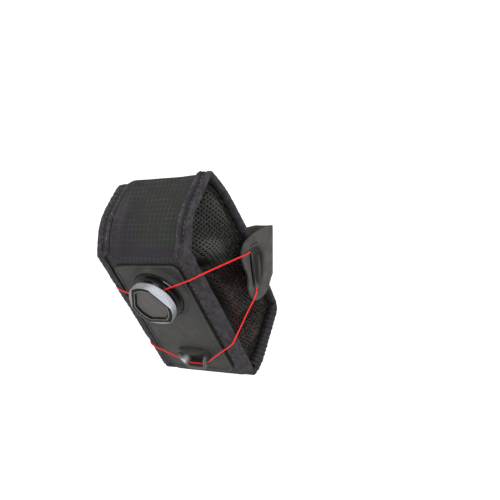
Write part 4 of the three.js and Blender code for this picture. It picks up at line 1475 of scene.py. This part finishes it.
@dataclass(frozen=True)
class BasePad:
    """The rubber pad with its raised border, its collar round the dial and the domed lower pocket."""

    right: float = 21.8
    left_top: float = 26.0
    left_bottom: float = 28.0
    top: float = 7.8
    bottom: float = 93.0
    corner: float = 5.5
    floor: float = 0.3
    face: float = 1.6
    corner_steps: int = 14
    edge_points: int = 60
    dial_down: float = 27.5
    collar: tuple[Pair, ...] = (
        (16.38, 1.5), (16.38, 3.9), (16.5, 4.2), (16.85, 4.35), (17.3, 4.15), (17.8, 3.6), (18.3, 2.85),
        (18.8, 2.15), (19.2, 1.7), (19.5, 1.45),
    )
    collar_shade: float = 2.6
    pocket_front: float = 76.0
    pocket_x: float = -1.2
    pocket_reach: float = 3.6
    pocket_half_width: float = 11.2
    pocket_height: float = 6.3
    pocket_wall: float = 1.2
    pocket_lip: float = 0.45
    pocket_power: float = 1.6
    pocket_sink: float = 0.2
    mound: Triple = (13.0, 8.0, 0.8)
    mound_up: float = 4.0
    unevenness: float = 0.1
    under_inset: float = 1.0
    swell_from: float = 0.2
    border: tuple[Pair, ...] = (
        (0.15, 0.3), (0.0, 0.6), (0.0, 1.5), (0.2, 1.9), (0.6, 2.12), (1.0, 2.1), (1.4, 1.9),
        (1.8, 1.58), (2.1, 1.45), (2.4, 1.45), (2.9, 1.58), (3.6, 1.6), (4.6, 1.6),
    )
    field_steps: int = 15
    spine_x: float = -2.5
    spine_end: float = 24.0

    def outline(self, inset: float) -> Array:
        """The pad's outline, moved inward, as rows of x and rise up the slope."""
        low, high, right = -self.bottom + inset, -self.top - inset, self.right - inset
        radius = max(self.corner - inset, 0.6)
        arcs = rounded(
            [
                (inset - self.left_bottom, low, radius), (right, low, radius),
                (right, high, radius), (inset - self.left_top, high, radius),
            ],
            self.corner_steps,
        ).reshape(4, self.corner_steps, 2)
        share = np.arange(1, self.edge_points)[:, None] / self.edge_points
        runs = [arcs[i, -1] + (arcs[(i + 1) % 4, 0] - arcs[i, -1]) * share for i in range(4)]
        return np.concatenate([part for pair in zip(arcs, runs) for part in pair])

    @staticmethod
    def level(flat: Array, lift: Array | float) -> Array:
        """Places of x and rise at a height over the base."""
        return np.column_stack([flat, np.broadcast_to(lift, len(flat))])

    def swell(self, places: Array) -> Array:
        """The height of the pad's soft relief at places of x and rise."""
        x, rise = places[..., 0], places[..., 1]
        wide, long, high = self.mound
        mound = high * bell(x, wide) * bell(rise + self.pocket_front - self.mound_up, long)
        return mound + self.unevenness * wander(x / 6 + rise / 9, 0.3)

    def pocket(self) -> Patch:
        """The pocket's dome, open down the slope."""
        turn = np.linspace(0, math.pi, 33)[None]
        back = np.linspace(0, 0.5 * math.pi, 14)[:, None]
        squeeze = np.maximum(np.cos(back), 0.03)
        shells = []
        for wall in (0.0, self.pocket_wall):
            width, reach = self.pocket_half_width - wall, self.pocket_reach - wall
            height = (self.pocket_height - self.face - wall) * squeeze ** self.pocket_power
            shells.append(np.stack([
                self.pocket_x + width * squeeze * np.cos(turn),
                -self.pocket_front + reach * np.sin(back) + 0 * turn,
                self.face + height * np.sin(turn) - self.pocket_sink,
            ], -1))
        lip = (shells[0][:1] + shells[1][:1]) / 2 - np.array([0, self.pocket_lip, 0])
        grid = np.concatenate([shells[1][::-1], lip, shells[0]])
        # the whole dome takes the pad's painted shade
        return Patch(on_base(grid), np.ones((*grid.shape[:2], 2)))

    def dial_collar(self) -> Patch:
        """The soft swell of the pad round the dial's housing, with painted shade next to the housing."""
        turn = full_turn(160)[None]
        radius, lift = (np.array(column)[:, None] for column in zip(*self.collar))
        grid = [radius * np.cos(turn), radius * np.sin(turn) - self.dial_down, lift + 0 * turn]
        # painted shade next to the housing, fading outward
        dark = 1 - smoothstep(radius, self.collar[0][0], self.collar[0][0] + self.collar_shade)
        weave = np.broadcast_to(dark[..., None], (len(radius), turn.size + 1, 2))
        return Patch(on_base(np.stack(grid, -1)), weave, close_cols=True)

    def build(self, finishes: Finishes) -> None:
        """Makes the pad."""
        rings = [self.level(self.outline(inset), lift) for inset, lift in self.border]
        edge = rings[-1][:, :2]
        low, high = self.spine_end - self.bottom, -self.top - self.spine_end
        spine = np.column_stack([np.full(len(edge), self.spine_x), np.clip(edge[:, 1], low, high)])
        for share in np.arange(1, self.field_steps + 1) / self.field_steps:
            flat = edge + (spine - edge) * share
            fade = smoothstep(share, 0.0, self.swell_from)
            rings.append(self.level(flat, self.face + fade * self.swell(flat)))
        below = (rings[-1][:, :2], self.outline(self.under_inset))
        under = [self.level(flat, self.floor) for flat in below]
        sheet = Patch(on_base(np.array([*under, *rings])), close_cols=True)
        builder = PieceBuilder("rubber_pad").add(sheet, self.pocket(), self.dial_collar())
        settle(builder.build([finishes.pad], 60, 0.01), "pack", "rubber_pad", "base_pad")


@dataclass(frozen=True)
class LowerGuide:
    """The stirrup on the base that turns the lace; its shares run from the left end to the right."""

    top_half: float = 11.2
    top_down: float = 76.6
    bar_half: float = 6.3
    bar_down: float = 86.4
    bend: float = 2.6
    wall: float = 1.9
    floor: float = 1.9
    height: float = 7.9
    lip: float = 0.55
    places: int = 61
    end_rise: Pair = (0.0, 0.05)
    end_fall: Pair = (0.95, 1.0)
    end_drop: float = 1.6
    # painted highlight on the inner faces near the left end, a trace of it elsewhere, and a slight
    # lightening at the right end
    highlight_rise: Pair = (0.04, 0.13)
    highlight_fall: Pair = (0.14, 0.26)
    highlight_least: float = 0.06
    highlight_from: float = 0.6
    right_end_lighter: float = 0.04
    right_end_rise: Pair = (0.8, 0.95)

    def build(self, finishes: Finishes) -> None:
        """Makes the stirrup."""
        corners = [
            (-self.top_half, -self.top_down, 0), (-self.bar_half, -self.bar_down, self.bend),
            (self.bar_half, -self.bar_down, self.bend), (self.top_half, -self.top_down, 0),
        ]
        bends = rounded(corners, 9, closed=False)
        length = travel(bends)
        share = np.linspace(0, 1, self.places)
        path = read_along(bends, length, share * length[-1])
        along = unit(np.gradient(path, axis=0))
        inward = np.stack([-along[:, 1], along[:, 0]], -1)
        angle = np.linspace(0, math.pi, 9)
        half = self.wall / 2
        aside = np.concatenate([[0], half - half * np.cos(angle), [self.wall]])
        rows = []
        for place, into, end in zip(path, inward, between(share, self.end_rise, self.end_fall)):
            top = self.height - self.lip - self.end_drop * (1 - end)
            lift = np.concatenate([[self.floor], top + self.lip * np.sin(angle), [self.floor]])
            rows.append(np.column_stack([place + into * aside[:, None], lift]))
        # painted highlight on the inner faces, strongest near the left end; worn only makes the right end
        # slightly lighter
        inside = smoothstep(aside, self.wall * self.highlight_from, self.wall)
        bright = between(share, self.highlight_rise, self.highlight_fall)
        bright = self.highlight_least + (1 - self.highlight_least) * bright
        worn = self.right_end_lighter * smoothstep(share, *self.right_end_rise)
        weave = np.zeros((len(rows), len(aside) + 1, 2))
        weave[:, :-1, 0] = bright[:, None] * inside + worn[:, None]
        grid = Patch(on_base(np.array(rows)), weave, close_cols=True, cap_ends=True)
        piece = PieceBuilder("lace_stirrup").add(grid).build([finishes.metal], 50)
        settle(piece, "pack", "guide_metal", "lace_guide")


@dataclass(frozen=True)
class LacingDial:
    """The dial: a housing on the pad, and a knob with a three-sided cap."""

    down: float = 27.5
    turns: int = 480
    knob_radius: float = 14.85
    knob_bottom: float = 9.3
    knob_top: float = 14.2
    facet_slope: float = 0.48
    edge_width: float = 0.5
    edge_drop: float = 0.35
    # painted light: the grip keeps its light colour towards this turn and takes painted shade elsewhere
    highlight_turn: float = 28.0
    wall_shade: float = 0.95
    highlight_range: Pair = (0.6, 0.93)
    facet_groove: float = 0.2
    facet_room: Pair = (0.8, 2.4)
    knurls: int = 60
    knurl_depth: float = 0.5
    knurl_power: float = 1.5
    shoulder_cut: float = 0.7
    shoulder_drop: float = 0.25
    cap_side: float = 11.8
    cap_corner: float = 14.2
    corner_inset: float = 1.6
    cap_round: float = 7.0
    cap_turn: float = 92.0
    cap_blend: float = 0.7
    cap_seat: float = 11.9
    cap_gap: float = 0.22
    seat_drop: float = 0.3
    seat_middle: float = 0.3
    hub_room: float = 8.9
    hub_drop: float = 1.3
    housing: tuple[Pair, ...] = (
        (15.6, 1.9), (16.1, 2.1), (16.3, 2.6), (16.3, 4.1), (16.15, 4.55), (15.8, 4.8), (15.2, 4.9),
        (14.4, 5.05), (13.2, 5.5), (12.7, 6.2), (12.6, 6.8), (12.6, 8.1), (12.4, 8.5), (11.9, 8.7),
        (3.2, 8.7),
    )
    guard_turn: Pair = (20.0, 58.0)
    guard_steps: int = 39
    guard_fade: int = 5
    guard_drop: float = 0.9
    guard_section: tuple[Pair, ...] = (
        (15.0, 4.6), (15.05, 5.1), (15.35, 5.45), (15.75, 5.45), (16.05, 5.1), (16.1, 4.6),
    )
    crest_steps: tuple[int, int] = (9, 30)
    crest_points: tuple[int, int] = (3, 5)
    crest_lift: float = 0.04
    wall_rows: tuple[Triple, ...] = (
        (0.9, 0.0, 0.0), (0.3, 0.2, 0.3), (0.0, 0.6, 1.0), (0.0, 1.2, 1.0), (0.0, 1.8, 1.0),
    )
    crown_shares: tuple[float, ...] = (0.02, 0.08, 0.18, 0.32, 0.5, 0.7, 0.9, 1.0)
    cap_rows: tuple[Pair, ...] = (
        (0.0, 11.9), (0.0, 13.4), (0.12, 13.75), (0.45, 13.95), (0.9, 14.0), (1.3, 13.98),
    )
    edge_rows: tuple[Pair, ...] = ((1.3, 13.98), (1.5, 13.92), (1.65, 13.78))
    dish_rows: tuple[Pair, ...] = ((1.65, 13.78), (1.9, 13.4), (2.1, 12.9), (2.3, 12.6))
    face_rows: tuple[Pair, ...] = ((2.3, 12.6), (3.1, 12.58), (5.0, 12.72), (8.0, 12.88))
    face_middle: float = 12.9

    @property
    def angles(self) -> Array:
        """The directions of the turned grids."""
        return full_turn(self.turns)

    def turned(self, radius: Array, lift: Array) -> Array:
        """Places about the dial's axis from radii and heights, rows by directions."""
        angles = self.angles[None]
        radius, lift = np.broadcast_arrays(radius + 0 * angles, lift + 0 * angles)
        return on_base(np.stack([radius * np.cos(angles), radius * np.sin(angles) - self.down, lift], -1))

    def cap_reach(self, inset: float) -> Array:
        """The cap's outline as a distance from the axis in each direction, moved inward."""
        reach, radius = 2 * (self.cap_side - inset), max(self.cap_round - inset, 1.5)
        turns = math.radians(self.cap_turn) + full_turn(3)
        corners = [(reach * math.cos(turn), reach * math.sin(turn), radius) for turn in turns]
        straight = reach_of(rounded(corners, 15), np.zeros(2), self.angles)
        corner = self.cap_corner - inset * self.corner_inset
        blend = smoothstep(straight - corner, -self.cap_blend, self.cap_blend)
        return straight + (corner - straight) * blend

    def crown(self, radius: Array, seat: Array) -> Array:
        """The height of the knob's top, which slopes down from the cap's seat to the wall."""
        past = np.clip((radius - (self.knob_radius - self.edge_width)) / self.edge_width, 0, 1)
        edge = self.edge_drop * (1 - np.sqrt(1 - past ** 2))
        return self.knob_top - self.facet_slope * (radius - seat) - edge

    def grip(self) -> Patch:
        """The knob's grip: a knurled wall, a domed rim and a seat for the cap."""
        comb = np.abs(np.sin(self.knurls * self.angles / 2))
        groove = self.knurl_depth * (1 - comb) ** self.knurl_power
        cap = self.cap_reach(0.0)
        facet = self.facet_groove * (1 - comb) * smoothstep(self.knob_radius - cap, *self.facet_room)
        seat = cap + self.cap_gap
        ones = np.ones(self.turns)
        room, floor = self.hub_room * ones, (self.cap_seat - self.seat_drop) * ones
        rows = [(room, (self.cap_seat - self.hub_drop) * ones), (room, self.knob_bottom * ones)]
        for inset, rise, cut in self.wall_rows:
            rows.append((self.knob_radius - inset - cut * groove, (self.knob_bottom + rise) * ones))
        shoulder = self.crown(self.knob_radius * ones, seat) - self.shoulder_drop
        rows.append((self.knob_radius - self.shoulder_cut * groove, shoulder))
        for share in self.crown_shares:
            radius = self.knob_radius + (seat - self.knob_radius) * share
            rows.append((radius, self.crown(radius, seat) - facet * (1 - smoothstep(share, 0.5, 1.0))))
        rows += [(seat, floor), (seat * self.seat_middle, floor)]
        radius, lift = (np.array(column) for column in zip(*rows))
        on_top = np.arange(len(rows)) > len(self.wall_rows) + 2
        # painted shade all round, full on top and nearly full on the wall, except on the lit side
        bright = smoothstep(np.cos(self.angles - math.radians(self.highlight_turn)), *self.highlight_range)
        painted_shade = np.where(on_top, 1.0, self.wall_shade)[:, None] * (1 - bright)
        return Patch(self.turned(radius, lift), shade_map(painted_shade), close_cols=True, cap_ends=True)

    def cap(self) -> list[Patch]:
        """The cap's glossy border with a painted highlight on its inner edge, and its dished face."""
        patches = []
        # finish 2 is the painted highlight on the inner edge
        bands = ((0, self.cap_rows), (2, self.edge_rows), (0, self.dish_rows), (1, self.face_rows))
        for finish, rows in bands:
            radius = np.array([self.cap_reach(inset) for inset, _ in rows])
            lift = np.array([[height] for _, height in rows])
            patches.append(Patch(self.turned(radius, lift), close_cols=True, finish=finish))
        middle = self.turned(np.array([[0.02]]), np.array([[self.face_middle]]))
        patches[-1].places = np.concatenate([patches[-1].places, middle])
        return patches

    def guard(self) -> list[Patch]:
        """The low lip over the lace's way out, with a painted highlight on its crest."""
        step = np.arange(self.guard_steps)[:, None]
        turn = np.radians(np.linspace(*self.guard_turn, self.guard_steps))[:, None]
        radius, height = (np.array(column)[None] for column in zip(*self.guard_section))
        end = np.minimum(step, step[::-1]) / self.guard_fade
        lift = np.maximum(height - self.guard_drop * (1 - smoothstep(end, 0, 1)), height.min())
        grid = np.stack([radius * np.cos(turn), radius * np.sin(turn) - self.down, lift], -1)
        # painted highlight: a strip over the crest in the grip's light grey
        top = grid[slice(*self.crest_steps), slice(*self.crest_points)] + (0, 0, self.crest_lift)
        crest = Patch(on_base(top), np.ones((*top.shape[:2], 2)), finish=1)
        return [Patch(on_base(grid), close_cols=True, cap_ends=True), crest]

    def build(self, finishes: Finishes) -> None:
        """Makes the housing, the grip and the cap."""
        radius, lift = (np.array(column)[:, None] for column in zip(*self.housing))
        body = Patch(self.turned(radius, lift), close_cols=True, cap_ends=True)
        # the grip's light grey serves as the painted highlight on the guard's crest
        housing = [finishes.housing, finishes.grip]
        piece = PieceBuilder("dial_housing").add(body, *self.guard()).build(housing, 40)
        settle(piece, "pack", "black_plastic", "dial_base")
        piece = PieceBuilder("knob_grip").add(self.grip()).build([finishes.grip], 50)
        settle(piece, "knob", "grey_plastic", "dial_grip")
        cap = [finishes.cap_border, finishes.cap_face, finishes.cap_edge_highlight]
        piece = PieceBuilder("knob_cap").add(*self.cap()).build(cap, 50, 0.01)
        settle(piece, "knob", "cap_plastic", "dial_cap")


@dataclass(frozen=True)
class Ridge:
    """A soft ridge of a lace guide, or a groove where its height is below zero.

    Attributes:
        height: The height in the middle.
        width: Its width.
        ends: The rise at its lower and its upper end.
        line: Its way down the guide, as rows of forward and rise.
    """

    height: float
    width: float
    ends: Pair
    line: tuple[Pair, ...]

    def lift(self, forward: Array, rise: Array) -> Array:
        """How far the ridge lifts the guide's face at each place."""
        low, high = self.ends
        middle = np.interp(-rise, [-r for _, r in self.line], [f for f, _ in self.line])
        shown = between(rise, (low, low + 4), (high - 3, high))
        return self.height * shown * bell(forward - middle, self.width)


@dataclass(frozen=True)
class Wing:
    """A tab folded into a loop, with a moulded lace guide let into it."""

    loop_x: float = 31.2
    loop_radius: float = 4.4
    thick: float = 1.8
    strip_end: float = 19.5
    seam_x: float = 14.0
    centre: Pair = (-14.0, -8.5)
    directions: int = 200
    loops: int = 44
    slit: float = 1.5
    seal: float = 0.14
    basin: float = 1.4
    deepest: float = 1.55
    slit_rise: Pair = (132.0, 141.0)
    slit_fall: Pair = (243.0, 252.0)
    slit_drop: float = 0.35
    guide_back: float = 34.9
    guide_rows: int = 30
    guide_shares: Pair = (0.01, 0.985)
    guide_edge: float = 0.5
    slit_fade: Pair = (0.8, 0.98)
    seam_shares: Pair = (0.06, 0.6)
    seam_round: Pair = (0.008, 0.5)
    seam_start: float = 0.4
    window_edge: tuple[Pair, ...] = ((0.0, 0.9), (0.0, 0.4), (0.12, 0.12), (0.4, 0.0))
    sheet_edge: tuple[Pair, ...] = (
        (0.5, 0.0), (0.15, 0.12), (0.0, 0.5), (0.0, 1.3), (0.2, 1.7), (0.5, 1.8),
    )
    strip: tuple[Triple, ...] = (
        (0.5, 0, -13.6), (1, 0, -12.6), (1, 1, 10.6), (1, 1, 13.0), (1, 0, 16.4), (0, 0, 16.2),
    )
    tab: tuple[Pair, ...] = (
        (-10.2, 13.4), (-20.6, 9.6), (-28, 5), (-31.2, 0.2), (-31.4, -4.6), (-28.7, -9.8), (-25, -14.5),
        (-24.4, -18), (-24.6, -22), (-22, -27.2), (-17.6, -29.4), (-12.5, -28.6), (-6.4, -25.6),
        (-2.6, -21.6), (0.2, -16.4), (2.4, -14.2),
    )
    bean: Ridge = Ridge(
        1.35, 1.9, (-23, 0.5), ((-20.8, 1), (-21.2, -6), (-20.6, -12), (-19, -17), (-17.2, -22)),
    )
    slot: Ridge = Ridge(
        -1.3, 1.6, (-18, -0.5), ((-17.2, 1), (-16.8, -5), (-15.6, -11), (-15.2, -16), (-15, -22)),
    )
    rim: Ridge = Ridge(
        1.25, 1.3, (-19, -0.5), ((-13.6, 1), (-13.1, -5), (-12.0, -11), (-12.4, -16), (-14, -22)),
    )
    basin_edge: Pair = (0.76, 0.98)
    basin_foot: Pair = (-23.0, -16.0)
    guide: tuple[Triple, ...] = (
        (-24, 3, 2), (-15, 5.5, 5), (-8, 0, 6), (-8, -14, 7), (-14.6, -23.8, 2), (-18.4, -23, 1.5),
    )

    @property
    def outer_radius(self) -> float:
        """The radius of the sheet's outer face round the loop."""
        return self.loop_radius + self.thick

    @property
    def angles(self) -> Array:
        """The directions of the grids."""
        return full_turn(self.directions)

    def bent(self, flat: Array, deep: Array) -> Array:
        """Bends places of the flat sheet into the loop.

        Args:
            flat: The way forward and the rise, with the tab behind zero and the strip past it.
            deep: The depth under the outer face.

        Returns:
            Places in the upright frame.
        """
        forward, rise = flat[..., 0], flat[..., 1]
        turn = np.clip(forward / self.outer_radius, 0, math.pi)
        radius = self.outer_radius - deep
        past = np.maximum(forward - math.pi * self.outer_radius, 0)
        x = self.loop_x + radius * np.cos(turn)
        y = radius * np.sin(turn) + np.minimum(forward, 0) - past
        return np.stack([x, y, rise], -1)

    def outline(self) -> Array:
        """The flat sheet's outline, tab and strip together."""
        loop = math.pi * self.outer_radius
        strip = [(loop * turned + self.strip_end * past, rise) for turned, past, rise in self.strip]
        return np.concatenate([spline(np.array(self.tab), 8, 0.0), np.array(strip)])[::-1]

    def slit_share(self) -> Array:
        """How far the slit is open in each direction, from 0 to 1."""
        return between(np.degrees(self.angles), self.slit_rise, self.slit_fall)

    def guide_reach(self) -> Array:
        """The guide's outline as a distance from its centre in each direction."""
        return reach_of(rounded(self.guide, 9)[::-1], np.array(self.centre), self.angles)

    def flat(self, reach: Array) -> Array:
        """Places of the flat sheet at distances from the centre, loops by directions."""
        ray = np.stack([np.cos(self.angles), np.sin(self.angles)], -1)
        return np.array(self.centre) + reach[..., None] * ray

    def sheet(self) -> Patch:
        """The tab and its strip as one bent sheet with a window for the guide."""
        window = self.guide_reach() + self.seal + (self.slit - self.seal) * self.slit_share()
        rim = reach_of(self.outline(), np.array(self.centre), self.angles)
        share = np.linspace(0, 1, self.loops)[:, None]
        inner, outer = window + self.window_edge[-1][0], rim - self.sheet_edge[0][0]
        front = inner + (outer - inner) * share
        back = outer + (window - outer) * share
        reach = [window + inset for inset, _ in self.window_edge[:-1]] + list(front)
        deep = [depth for _, depth in self.window_edge[:-1]] + [0.0] * self.loops
        reach += [rim - inset for inset, _ in self.sheet_edge[1:]] + list(back[1:])
        deep += [depth for _, depth in self.sheet_edge[1:]] + [self.thick] * (self.loops - 1)
        places = self.bent(self.flat(np.array(reach)), np.array(deep)[:, None])
        return Patch(places, close_rows=True, close_cols=True)

    def seam(self) -> Patch:
        """The part that is sewn flat on the top panel."""
        start, end = SHAPE.corner("crest"), SHAPE.corner("brow")
        away = unit(np.array([-(end - start)[1], (end - start)[0]]))
        low, high = SHAPE.gap, SHAPE.gap + self.thick
        (left, right), (inset, drop) = self.seam_shares, self.seam_round
        section = (
            (left, low), (left, high - drop), (left + inset, high),
            (right - inset, high), (right, high - drop), (right, low),
        )
        points = np.array([start + (end - start) * share + away * lift for share, lift in section])
        stations = (self.seam_x, self.seam_x + self.seam_start, self.loop_x - self.loop_radius)
        rows = np.array([np.column_stack([np.full(len(points), x), points]) for x in stations])
        return Patch(upright(rows), close_cols=True, cap_ends=True)

    def guide_depth(self, flat: Array, share: Array) -> Array:
        """The depth of the guide's face under the tab's face.

        Args:
            flat: Places of the flat sheet.
            share: How near each place lies to the guide's outline, from 0 to 1.

        Returns:
            The depths.
        """
        forward, rise = flat[..., 0], flat[..., 1]
        basin = self.basin * (1 - smoothstep(share, *self.basin_edge)) * smoothstep(rise, *self.basin_foot)
        raised = sum(ridge.lift(forward, rise) for ridge in (self.bean, self.rim, self.slot))
        return np.minimum(basin - raised, self.deepest)

    def guide_plate(self) -> Patch:
        """The lace guide: a moulded plate with a basin, a ridge and a slot."""
        rim = self.guide_reach()
        share = np.linspace(*self.guide_shares, self.guide_rows)[:, None]
        face = self.flat(rim * share)
        deep = self.guide_depth(face, share + 0 * rim)
        drop = self.slit_drop * self.slit_share() * smoothstep(share, *self.slit_fade)
        outer = self.loop_x + self.outer_radius
        front = np.concatenate([(outer - deep - drop)[..., None], face], -1)
        edge = self.flat(np.stack([rim, rim]))
        side = np.array([[outer - self.guide_edge], [self.guide_back]]) + 0 * rim
        rows = np.concatenate([front, np.concatenate([side[..., None], edge], -1)])
        # the depth goes into the weave, where the guide's material turns it into painted shade; the side
        # rows take it fully
        deeper = np.concatenate([deep, np.full((2, self.directions), self.thick)])
        return Patch(rows, shade_map(deeper), close_cols=True, cap_ends=True)

    def build(self, side: Side, finishes: Finishes) -> None:
        """Makes the wing and its guide on one side."""
        flip = np.array([side.value, 1, 1])
        sheet, seam, plate = self.sheet(), self.seam(), self.guide_plate()
        for patch in (sheet, seam, plate):
            patch.places = patch.places * flip
        piece = PieceBuilder(f"rail_wing_{side.word}").add(sheet, seam).build([finishes.sheet], 55)
        settle(piece, "pack", "coated_sheet", f"wing_{side.word}")
        piece = PieceBuilder(f"moulded_guide_{side.word}").add(plate).build([finishes.wing_guide], 55)
        settle(piece, "pack", "wing_guide", f"wing_guide_{side.word}")


@dataclass(frozen=True)
class LaceSide:
    """Where one side of the lace leaves the dial and crosses the panel edge."""

    side: Side
    exit_x: float
    exit_down: float
    edge_down: float
    lower_down: float
    edge_x: float
    turn_x: float
    turn_lift: float


@dataclass(frozen=True)
class Lace:
    """One lace from the dial round both wings and the lower guide."""

    radius: float = 0.46
    points_round: int = 14
    steps: int = 9
    turn_rise: float = 0.6
    guide_x: float = 8.0
    guide_down: float = 82.3
    guide_lift: float = 5.4
    guide_leg: Pair = (5.8, 83.3)
    guide_middle: float = 83.6
    sides: tuple[LaceSide, ...] = (
        LaceSide(Side.RIGHT, 9.2, 20.4, 14, 65, 35.2, 34.7, 1.5),
        LaceSide(Side.LEFT, 11.6, 26.2, 24.5, 71.5, 33.8, 32.9, 0.9),
    )
    to_edge: tuple[Pair, ...] = ((0, 7.3), (0.5, 5), (0.9, 2.45))
    to_guide: tuple[Pair, ...] = ((0.07, 2.6), (0.5, 4.2), (0.94, 5.3))
    to_tab: tuple[float, ...] = (0.06, 0.55)
    from_tab: tuple[float, ...] = (0.5, 0.93)
    tab_turn: tuple[Triple, ...] = (
        (38.3, -27.4, -1.6), (37.5, -24.4, -1.0), (35.1, -20, 0.2), (35.1, -15, 0.6), (35.1, -11.4, -2.4),
        (35.1, -10.6, -8), (35.1, -12, -13.6), (35.1, -14.8, -19), (37.5, -17, -22.7), (38.3, -18.6, -25.4),
    )

    def half(self, row: LaceSide) -> Array:
        """The route of one side, from the dial to the lower guide, in the upright frame."""
        flip = np.array([row.side.value, 1, 1])
        edge = (row.edge_x, row.edge_down)
        lower, guide = (row.edge_x, row.lower_down), (self.guide_x, self.guide_down)

        def base(x: float, down: float, lift: float) -> Array:
            """A place over the base."""
            return upright(np.array([x, down, -lift])) * flip

        def on_run(start: Pair, end: Pair, share: float, lift: float) -> Array:
            """A place on a straight run over the base."""
            x, down = np.array(start) + (np.array(end) - np.array(start)) * share
            return base(x, down, lift)

        turn = np.array(self.tab_turn) * flip
        upper_edge = base(row.turn_x, row.edge_down, row.turn_lift)
        lower_edge = base(row.turn_x, row.lower_down - self.turn_rise, row.turn_lift)
        return np.array([
            *(on_run((row.exit_x, row.exit_down), edge, *step) for step in self.to_edge),
            upper_edge,
            *(upper_edge + (turn[0] - upper_edge) * share for share in self.to_tab),
            *turn,
            *(turn[-1] + (lower_edge - turn[-1]) * share for share in self.from_tab),
            lower_edge,
            *(on_run(lower, guide, *step) for step in self.to_guide),
            base(*self.guide_leg, self.guide_lift),
        ])

    def build(self, finishes: Finishes) -> None:
        """Makes the lace."""
        right, left = (self.half(row) for row in self.sides)
        middle = upright(np.array([0, self.guide_middle, -self.guide_lift]))
        path = spline(np.concatenate([right, middle[None], left[::-1]]), self.steps)
        along = unit(np.gradient(path, axis=0))
        aside = [unit(np.cross(along[0], np.array([0.3, 0.2, 1.0])))]
        for direction in along[1:]:
            last = aside[-1]
            aside.append(unit(last - direction * (last @ direction)))
        aside = np.array(aside)
        across = np.cross(along, aside)
        around = full_turn(self.points_round)[None, :, None]
        ring = np.cos(around) * aside[:, None] + np.sin(around) * across[:, None]
        length = travel(path)
        girth = np.linspace(0, 2 * math.pi * self.radius, self.points_round + 1)
        weave = np.stack(np.meshgrid(length, girth, indexing="ij")[::-1], -1)
        tube = Patch(path[:, None] + self.radius * ring, weave, close_cols=True, cap_ends=True)
        piece = PieceBuilder("red_lace").add(tube).build([finishes.lace], 60)
        settle(piece, "pack", "lace", "lace")
        LOG.info("lace length %.0f mm", length[-1])


@dataclass(frozen=True)
class Lamp:
    """A soft rectangular light aimed at the pack."""

    name: str
    place: Triple
    size: float
    power: float
    tint: Colour = (1.0, 1.0, 1.0)


@dataclass(frozen=True)
class Studio:
    """The floor, the lights and the camera."""

    camera_place: Triple = (0.287, -0.398, -0.004)
    azimuth: float = 33.7
    pitch: float = 0.58
    lens: float = 54.94
    sensor: float = 36.0
    floor_level: float = -130.0
    floor_middle: float = 0.01
    floor_radius: float = 900.0
    floor_sides: int = 96
    sweep: float = 400.0
    sweep_steps: int = 16
    wall_height: float = 900.0
    world_light: float = 0.35
    aim: Triple = (0.0, -0.03, -0.02)
    lamps: tuple[Lamp, ...] = (
        Lamp("overhead", (0.1, -0.3, 0.65), 0.4, 5.0),
        Lamp("camera_right", (0.75, -0.4, 0.25), 0.4, 3.6),
        Lamp("camera_left", (-0.35, -0.8, 0.15), 0.5, 1.0),
    )

    def floor(self, finishes: Finishes) -> None:
        """Makes a round floor that sweeps up into a wall."""
        rows = [(radius, 0.0) for radius in (self.floor_middle, self.floor_radius / 2, self.floor_radius)]
        for turn in np.linspace(0, math.pi / 2, self.sweep_steps)[1:]:
            reach = self.floor_radius + self.sweep * math.sin(turn)
            rows.append((reach, self.sweep * (1 - math.cos(turn))))
        rows.append((self.floor_radius + self.sweep, self.wall_height))
        angles = full_turn(self.floor_sides)
        radius, height = (np.array(column)[:, None] for column in zip(*rows))
        level = height + self.floor_level + 0 * angles
        grid = np.stack([radius * np.cos(angles), radius * np.sin(angles), level], -1)
        bowl = PieceBuilder("studio_floor").add(Patch(grid, close_cols=True)).build([finishes.floor], 80)

    def light(self) -> None:
        """Makes the sky light and the lamps."""
        world = bpy.data.worlds.new("studio")
        bpy.context.scene.world = world
        world.use_nodes = True
        background = world.node_tree.nodes["Background"]
        background.inputs["Color"].default_value = (1.0, 1.0, 1.0, 1.0)
        background.inputs["Strength"].default_value = self.world_light
        for lamp in self.lamps:
            data = bpy.data.lights.new(lamp.name, "AREA")
            data.energy = lamp.power
            data.size = lamp.size
            data.color = lamp.tint
            light = put_in_scene(lamp.name, data)
            light.location = lamp.place
            offset = np.array(self.aim) - np.array(lamp.place)
            tilt = math.atan2(math.hypot(offset[0], offset[1]), -offset[2])
            light.rotation_euler = (tilt, 0, math.atan2(offset[1], offset[0]) - math.pi / 2)

    def camera(self) -> None:
        """Makes the camera at the photo's viewing angle."""
        data = bpy.data.cameras.new("camera")
        data.lens = self.lens
        data.sensor_width = self.sensor
        camera = put_in_scene("camera", data)
        camera.location = self.camera_place
        camera.rotation_euler = (math.radians(90 + self.pitch), 0, math.radians(self.azimuth))
        bpy.context.scene.camera = camera

    def build(self, finishes: Finishes) -> None:
        """Makes the studio."""
        bpy.context.scene.view_settings.view_transform = "Standard"
        self.camera()
        self.light()
        self.floor(finishes)


def dress_hub(finishes: Finishes) -> None:
    """Gives the toothed disc under the knob its finish."""
    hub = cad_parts["dial_hub"]
    hub.data.materials.clear()
    hub.data.materials.append(finishes.housing)


def main() -> None:
    """Builds the whole scene."""
    logging.basicConfig(level=logging.INFO, format="%(message)s")
    finishes = Finishes()
    Studio().build(finishes)
    Lace().build(finishes)
    ClothBody().build(finishes)
    for side in Side:
        MeshSide().build(side, finishes)
        EdgeTape().build(side, finishes)
        Wing().build(side, finishes)
    BasePad().build(finishes)
    LowerGuide().build(finishes)
    LacingDial().build(finishes)
    dress_hub(finishes)


if __name__ == "__main__":
    main()
